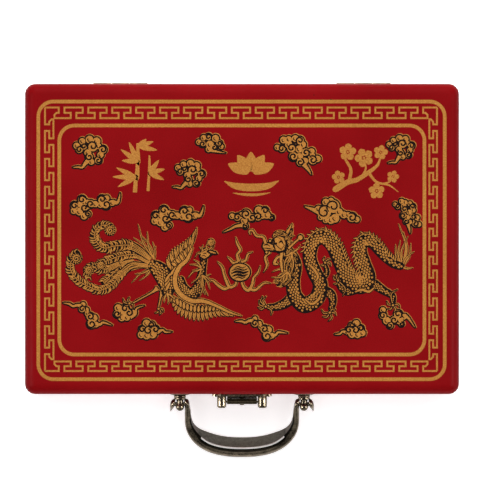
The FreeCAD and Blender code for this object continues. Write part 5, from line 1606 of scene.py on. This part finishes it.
# Columns of faces round the grip's section: the hollow from INSIDE to NEAR_RIM, the rim, the dark top.
INSIDE = SECTION_STEPS + 3
NEAR_RIM = 2 * SECTION_STEPS + 5
DARK_TOP = 2 * SECTION_STEPS + 7
# The share of the bow after which the rim carries the painted highlight.
HIGHLIGHT_START = 0.42


def handle_ears(name, side):
    """The hooked ear outside a post, and the strap below it."""
    claw = []
    for out, near, far, high, rise in CLAW:
        ring = ellipse(POST_X + (near + far) / 2, rise, (far - near) / 2, high, CLAW_SIDES)
        claw.append([in_handle(side * x, out, up) for x, up in ring])
    points, faces = closed_loft(claw)
    piece(f"handle_claw_{name}", points, faces, BRONZE, "handle", smooth_angle=42)
    strap = []
    for index, (x, up) in enumerate(STRAP):
        before, after = STRAP[max(index - 1, 0)], STRAP[min(index + 1, len(STRAP) - 1)]
        way = Vector((after[0] - before[0], after[1] - before[1])).normalized()
        lift = (-way.y * STRAP_THICK / 2, way.x * STRAP_THICK / 2)
        strap.append([in_handle(side * POST_X + x + lift[0] * height * STRAP_TRIM, out,
                                up + lift[1] * height * STRAP_TRIM) for out, height in STRAP_SECTION])
    points, faces = closed_loft(strap)
    piece(f"handle_strap_{name}", points, faces, BRONZE, "handle", smooth_angle=50)


def cast_handle():
    half = grip_stations()
    rings = [grip_ring(station, -1) for station in half]
    rings += [grip_ring(station, 1) for station in reversed(half[:-1])]
    points, faces = closed_loft(rings)
    bail = piece("cast_handle", points, faces, BRONZE, "handle", smooth_angle=42)
    for look in (ROUGH_BRONZE, RIM_HIGHLIGHT_BRONZE, DARK_REFLECTION_BRONZE):
        bail.data.materials.append(look)
    for face in bail.data.polygons:
        row, column = divmod(face.index, len(rings[0]))
        from_leg = min(row, len(rings) - 1 - row) - len(LEG_TOP)
        if from_leg <= 0 or not INSIDE <= column <= DARK_TOP:
            continue
        if column < NEAR_RIM:
            face.material_index = ROUGH
        # Painted highlight: the rim of the grip, away from the legs.
        elif column < DARK_TOP and from_leg > BOW_STEPS * HIGHLIGHT_START:
            face.material_index = RIM_HIGHLIGHT
        # Painted dark reflection: the flat top, and the rim next to the legs.
        else:
            face.material_index = DARK_REFLECTION
    for name, side in SIDES:
        handle_ears(name, side)
    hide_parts("handle_bail")


# The latch plate's lower edge is turned out towards the hasp: place out from the wall, and height.
LIP = [(1.2, 53.6), (1.6, 52.6), (2.3, 52.0), (3.05, 51.9), (3.05, 51.3), (2.1, 51.3), (1.2, 51.7)]
LIP_HALF = 11.0
LIP_ROUND = 0.4


def latch_lip():
    """The turned-out lower edge of the latch plate."""
    places = (-LIP_HALF, -LIP_HALF + LIP_ROUND, LIP_HALF - LIP_ROUND, LIP_HALF)
    points, faces = closed_loft([[(x, WALL - out, high) for out, high in LIP] for x in places])
    piece("latch_plate_lip", points, faces, BRONZE, "lid", smooth_angle=30)


# How far the edges of a node are rounded.
EASED_NODES = {"hasp": 0.18, "turn_knob": 0.3, "latch_plate": 0.25, "catch_plate": 0.25,
               "compartment_partition": 1.1, "lower_left_tray": 0.7, "lower_right_tray": 0.7,
               "upper_left_tray": 0.7, "upper_right_tray": 0.7}


def ease_edges():
    """A small round on the edges of pressed metal and of cloth-covered card."""
    for name, amount in EASED_NODES.items():
        rounding = NODES[name].modifiers.new("eased", "BEVEL")
        rounding.width = amount * MM
        rounding.segments = 3
        rounding.limit_method = "ANGLE"
        rounding.angle_limit = math.radians(40)
        rounding.harden_normals = False


# ---------------------------------------------------------------- linings, pad and cloths

def ripple(x, y, size):
    """How glued cloth lies a little unevenly, from 0 to 1."""
    first = math.sin(x / size + 1.3 * math.sin(0.7 * y / size))
    second = math.sin((1.3 * y + 0.4 * x) / size)
    return 0.5 + 0.25 * (first + second)


def slab(low, high, columns, rows, height, face_up):
    """A closed sheet, flat on the side where it is glued; height(u, v) gives the other side."""
    glued = low.z if face_up else high.z
    points = []
    for layer in (0, 1 if face_up else -1):
        for row in range(rows + 1):
            for column in range(columns + 1):
                u, v = column / columns, row / rows
                points.append((low.x + (high.x - low.x) * u, low.y + (high.y - low.y) * v,
                               glued + layer * height(u, v)))
    line = columns + 1
    layer_size = line * (rows + 1)
    faces = []
    for row in range(rows):
        for column in range(columns):
            corner = row * line + column
            quad = (corner, corner + 1, corner + 1 + line, corner + line)
            faces.append(quad)
            faces.append(tuple(layer_size + index for index in quad))
    border = list(range(line)) + [row * line + columns for row in range(1, rows + 1)]
    border += [rows * line + column for column in range(columns - 1, -1, -1)]
    border += [row * line for row in range(rows - 1, 0, -1)]
    for here, after in zip(border, border[1:] + border[:1]):
        faces.append((here, after, after + layer_size, here + layer_size))
    return points, faces, layer_size


# The pitch of a glued sheet's points, its unevenness in cells, and the share of thickness at its edge.
SHEET_CELL = 4.0
SHEET_WAVE = 2.5
ROLLED_UNDER = 0.4


def glued_sheet(node, name, look, body, uneven, face_up=True):
    """Cloth glued flat on a board: its edge is rolled under and it lies a little unevenly."""
    low, high = span(node)
    thick = high.z - low.z
    columns, rows = round((high.x - low.x) / SHEET_CELL), round((high.y - low.y) / SHEET_CELL)

    def height(u, v):
        from_edge = min(u * columns, (1 - u) * columns, v * rows, (1 - v) * rows)
        lie = uneven * ripple(u * (high.x - low.x), v * (high.y - low.y), SHEET_WAVE * SHEET_CELL)
        return thick - lie if from_edge > 0.5 else ROLLED_UNDER * thick

    points, faces, _ = slab(low, high, columns, rows, height, face_up)
    sheet = piece(name, points, faces, look, body, smooth_angle=60)
    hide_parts(node)


# How small a band's corners may get, and the size of its unevenness.
LEAST_CORNER = 0.3
BAND_WAVE = 9.0


def ring_band(name, profile, half_x, half_y, corner, body, uneven):
    """A closed band of velvet round the inside of the case; the profile gives insets and heights."""
    rings = []
    for inset, high in profile:
        outline = rounded_ring(half_x - inset, half_y - inset, max(corner - inset, LEAST_CORNER), 6)
        ring = []
        for index, (x, y) in enumerate(outline):
            give = uneven * (ripple(x + y, high + index, BAND_WAVE) - 0.5) if inset > 0 else 0.0
            length = math.hypot(x, y)
            ring.append((x + give * x / length, y + give * y / length, high))
        rings.append(ring)
    points, faces = loft(rings + rings[:1], close_end=False)
    count = len(points) - len(rings[0])
    faces = [tuple(index % count for index in face) for face in faces]
    return piece(name, points[:count], faces, VELVET, body, smooth_angle=60)


# Rows of points up the velvet, how much thinner it is below its roll, its corners and its unevenness.
WALL_STEPS = 7
WALL_THIN = 0.92
WALL_CORNER = 1.6
WALL_UNEVEN = 0.3
# The rolled free edge: inset in thicknesses of the velvet, and place back from the edge in roll lengths.
FREE_EDGE = [(1.0, 1.0), (1.12, 0.6), (1.0, 0.2), (0.55, 0.0), (0.15, 0.12), (0.0, 0.5)]


def wall_velvet(node, name, body, free_edge_up):
    """Velvet round the inside of the walls, its free edge turned over in a soft roll."""
    low, high = span(node)
    thick = high.x - span("lid_top_lining")[1].x
    glued, free = (low.z, high.z) if free_edge_up else (high.z, low.z)
    roll = math.copysign(thick, free - glued)
    profile = [(0.0, glued), (thick, glued)]
    for step in range(1, WALL_STEPS):
        profile.append((thick * WALL_THIN, glued + (free - roll - glued) * step / WALL_STEPS))
    profile += [(thick * inset, free - back * roll) for inset, back in FREE_EDGE]
    band = ring_band(name, profile, high.x, high.y, WALL_CORNER, body, WALL_UNEVEN)
    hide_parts(node)


# The pad's cells along and across it, and how many lie between two seams.
PAD_CELLS = (96, 64)
PAD_REPEAT = 16
# Its thickness at a seam, how far a diamond stands proud before it is stuffed, and how rounded it is.
PAD_EDGE = 0.6
PAD_PROUD = 2.3
PAD_ROUNDNESS = 0.4
# The most that the stuffing adds, the frames it takes, and the cloth's settings.
PAD_RISE = 0.7
PAD_FRAMES = 20
STUFFING = {"quality": 6, "mass": 0.15, "tension_stiffness": 12, "compression_stiffness": 12,
            "shear_stiffness": 4, "bending_stiffness": 0.05, "shrink_min": -0.015, "use_pressure": True,
            "uniform_pressure_force": 4}


def quilted_pad():
    """The silk pad inside the lid: sewn down along diamonds, then stuffed by a cloth simulation."""
    low, high = span("lid_top_lining")
    columns, rows = PAD_CELLS

    def on_edge(column, row):
        return row in (0, rows) or column in (0, columns)

    def height(u, v):
        """Diamonds that already stand a little proud, so that the stuffing goes the right way."""
        column, row = round(u * columns), round(v * rows)
        rise = 1.0
        for along in ((row + column) % PAD_REPEAT, (row - column) % PAD_REPEAT):
            rise *= math.sin(math.pi * along / PAD_REPEAT)
        return PAD_EDGE + (0.0 if on_edge(column, row) else PAD_PROUD * abs(rise) ** PAD_ROUNDNESS)

    points, faces, layer_size = slab(low, high, columns, rows, height, face_up=False)
    pad = piece("quilted_lid_pad", points, faces, SILK, "lid", smooth_angle=60)
    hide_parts("lid_top_lining")
    sewn = list(range(layer_size))
    for row in range(rows + 1):
        for column in range(columns + 1):
            if on_edge(column, row) or (row + column) % PAD_REPEAT == 0 or (row - column) % PAD_REPEAT == 0:
                sewn.append(layer_size + row * (columns + 1) + column)
    stuff(pad, sewn)
    smooth = pad.modifiers.new("smooth", "SUBSURF")
    smooth.levels = 1
    smooth.render_levels = 1


def stuff(pad, sewn):
    """Blows the pad up between its seams and caps how far any point rises."""
    pad.vertex_groups.new(name="sewn").add(sewn, 1.0, "REPLACE")
    cloth = pad.modifiers.new("stuffing", "CLOTH")
    cloth.settings.vertex_group_mass = "sewn"
    for name, setting in STUFFING.items():
        setattr(cloth.settings, name, setting)
    cloth.settings.effector_weights.gravity = 0
    cloth.collision_settings.use_collision = False
    scene = bpy.context.scene
    for step in range(1, PAD_FRAMES + 1):
        scene.frame_set(step)
    settled = pad.evaluated_get(bpy.context.evaluated_depsgraph_get())
    places = [vertex.co.copy() for vertex in settled.data.vertices]
    pad.modifiers.remove(cloth)
    scene.frame_set(1)
    highest = max((place - vertex.co).length for vertex, place in zip(pad.data.vertices, places))
    share = min(1.0, PAD_RISE * MM / highest)
    for vertex, place in zip(pad.data.vertices, places):
        vertex.co += (place - vertex.co) * share


PIPING_RADIUS = 1.15
PIPING_SIDES = 10
# How far the piping's middle stands beyond the pad's edge, in radii, and its corners and unevenness.
PIPING_PROUD = 0.8
PIPING_CORNER = 3.5
PIPING_UNEVEN = 0.12


def pad_piping():
    """A velvet piping that hides the pad's edge."""
    high = span("lid_top_lining")[1]
    middle = high.z - PAD_EDGE - PIPING_RADIUS * PIPING_PROUD
    profile = []
    for step in range(PIPING_SIDES):
        turn = math.tau * step / PIPING_SIDES
        profile.append((PIPING_RADIUS * (1 + math.cos(turn)), middle + PIPING_RADIUS * math.sin(turn)))
    ring_band("lid_pad_piping", profile, high.x, high.y, PIPING_CORNER, "lid", PIPING_UNEVEN)


def line_the_case():
    glued_sheet("base_floor_lining", "floor_velvet", VELVET, "base", 0.3)
    glued_sheet("base_underside_sheet", "underside_cloth", UNDER_CLOTH, "base", 0.12,
                face_up=False)
    wall_velvet("base_wall_lining", "base_wall_velvet", "base", free_edge_up=True)
    wall_velvet("lid_wall_lining", "lid_wall_velvet", "lid", free_edge_up=False)
    quilted_pad()
    pad_piping()


# ---------------------------------------------------------------- CAD nodes kept in view

def dress_cad_nodes():
    """Every CAD node gets the node material of its slot in the record, or its own."""
    for part in frame["record"]["subparts"]:
        item = NODES[part["node"]]
        item.data.materials.clear()
        item.data.materials.append(NODE_LOOKS.get(part["node"], SLOT_LOOKS[part["material_slot"]]))


# ---------------------------------------------------------------- stage

CAMERA_ABOVE = 3000.0
PHOTO_WIDE = 480
LID_WIDE_IN_PHOTO = 436.0
LID_CENTRE_IN_PHOTO = (242.0, 239.0)
SENSOR = 36.0
CAMERA_REACH = 50
FLOOR_HALF = 6000
FLOOR_GLOW = 0.6
BACKDROP_GLOW = 0.08
# What the lamps at the sides light: the front of the case.
CASE_FRONT = (0, -0.1, 0.05)


def paper_floor():
    look = Look("paper_floor", 0.95, Specular_IOR_Level=0.0)
    look.colour(look.ramp(look.noise(300, detail=2), FLOOR_GREYS))
    look.shader.inputs["Emission Color"].default_value = (1, 1, 1, 1)
    look.shader.inputs["Emission Strength"].default_value = FLOOR_GLOW
    corners = ((-1, -1), (1, -1), (1, 1), (-1, 1))
    points = [Vector((x * FLOOR_HALF, y * FLOOR_HALF, 0)) * MM for x, y in corners]
    mesh = bpy.data.meshes.new("floor")
    mesh.from_pydata(points, [], [(0, 1, 2, 3)])
    mesh.materials.append(look.material)
    floor = bpy.data.objects.new("floor", mesh)
    bpy.context.scene.collection.objects.link(floor)


def lamp(name, place, target, size, power, lights=True, shines=True):
    """A soft square area lamp; places and size in metres, power in watts.

    It can be left out of the light or of the reflections.
    """
    data = bpy.data.lights.new(name, "AREA")
    data.shape = "SQUARE"
    data.size = size
    data.energy = power
    item = bpy.data.objects.new(name, data)
    item.visible_diffuse = lights
    item.visible_glossy = shines
    item.location = place
    item.rotation_euler = (Vector(target) - Vector(place)).to_track_quat("-Z", "Y").to_euler()
    bpy.context.scene.collection.objects.link(item)


def studio_light():
    """Soft light from above and behind, with lamps that only shine in the metal and the leatherette."""
    lamp("overhead_softbox", (0.0, 0.9, 4.0), (0, 0, 0), 4.6, 140, shines=False)
    lamp("back_softbox", (0.0, 2.2, 1.6), (0, 0, 0), 1.5, 46)
    lamp("high_panel", (0.0, 1.0, 2.8), (0, 0, 0), 1.2, 9, lights=False)
    lamp("front_panel", (0.0, -1.9, 1.2), (0, -0.12, 0), 0.9, 2.6, lights=False)
    lamp("front_fill", (0.0, -2.6, 1.1), (0, 0, 0), 0.9, 19, shines=False)
    for kind, (out, back, high), size, power in (("softbox", (1.3, -0.35, 1.15), 0.36, 26),
                                                 ("strip", (1.5, -0.4, 0.3), 0.3, 5)):
        for name, side in SIDES:
            lamp(f"{name}_{kind}", (side * out, back, high), CASE_FRONT, size, power, lights=False)
    world = bpy.data.worlds.new("studio")
    world.use_nodes = True
    backdrop = world.node_tree.nodes["Background"]
    backdrop.inputs["Color"].default_value = (1, 1, 1, 1)
    backdrop.inputs["Strength"].default_value = BACKDROP_GLOW
    bpy.context.scene.world = world
    bpy.context.scene.view_settings.view_transform = "Standard"


def photo_camera():
    """A camera straight above, framed as the photo is."""
    data = bpy.data.cameras.new("photo_camera")
    scale = 2 * HALF_WIDE / LID_WIDE_IN_PHOTO
    data.sensor_width = SENSOR
    data.lens = SENSOR * CAMERA_ABOVE / (PHOTO_WIDE * scale)
    data.clip_end = CAMERA_REACH
    camera = bpy.data.objects.new("photo_camera", data)
    shift_x = (PHOTO_WIDE / 2 - LID_CENTRE_IN_PHOTO[0]) * scale
    shift_y = (LID_CENTRE_IN_PHOTO[1] - PHOTO_WIDE / 2) * scale
    camera.location = Vector((shift_x, shift_y, LID_TOP + CAMERA_ABOVE)) * MM
    bpy.context.scene.collection.objects.link(camera)
    bpy.context.scene.camera = camera


dress_cad_nodes()
lid_leather()
base_leather()
turned_posts()
cast_handle()
latch_lip()
line_the_case()
ease_edges()
printed_frame()
printed_clouds()
printed_pearl()
printed_phoenix()
printed_dragon()
printed_ornaments()
dark_specks()
paper_floor()
studio_light()
photo_camera()
bpy.context.view_layer.update()
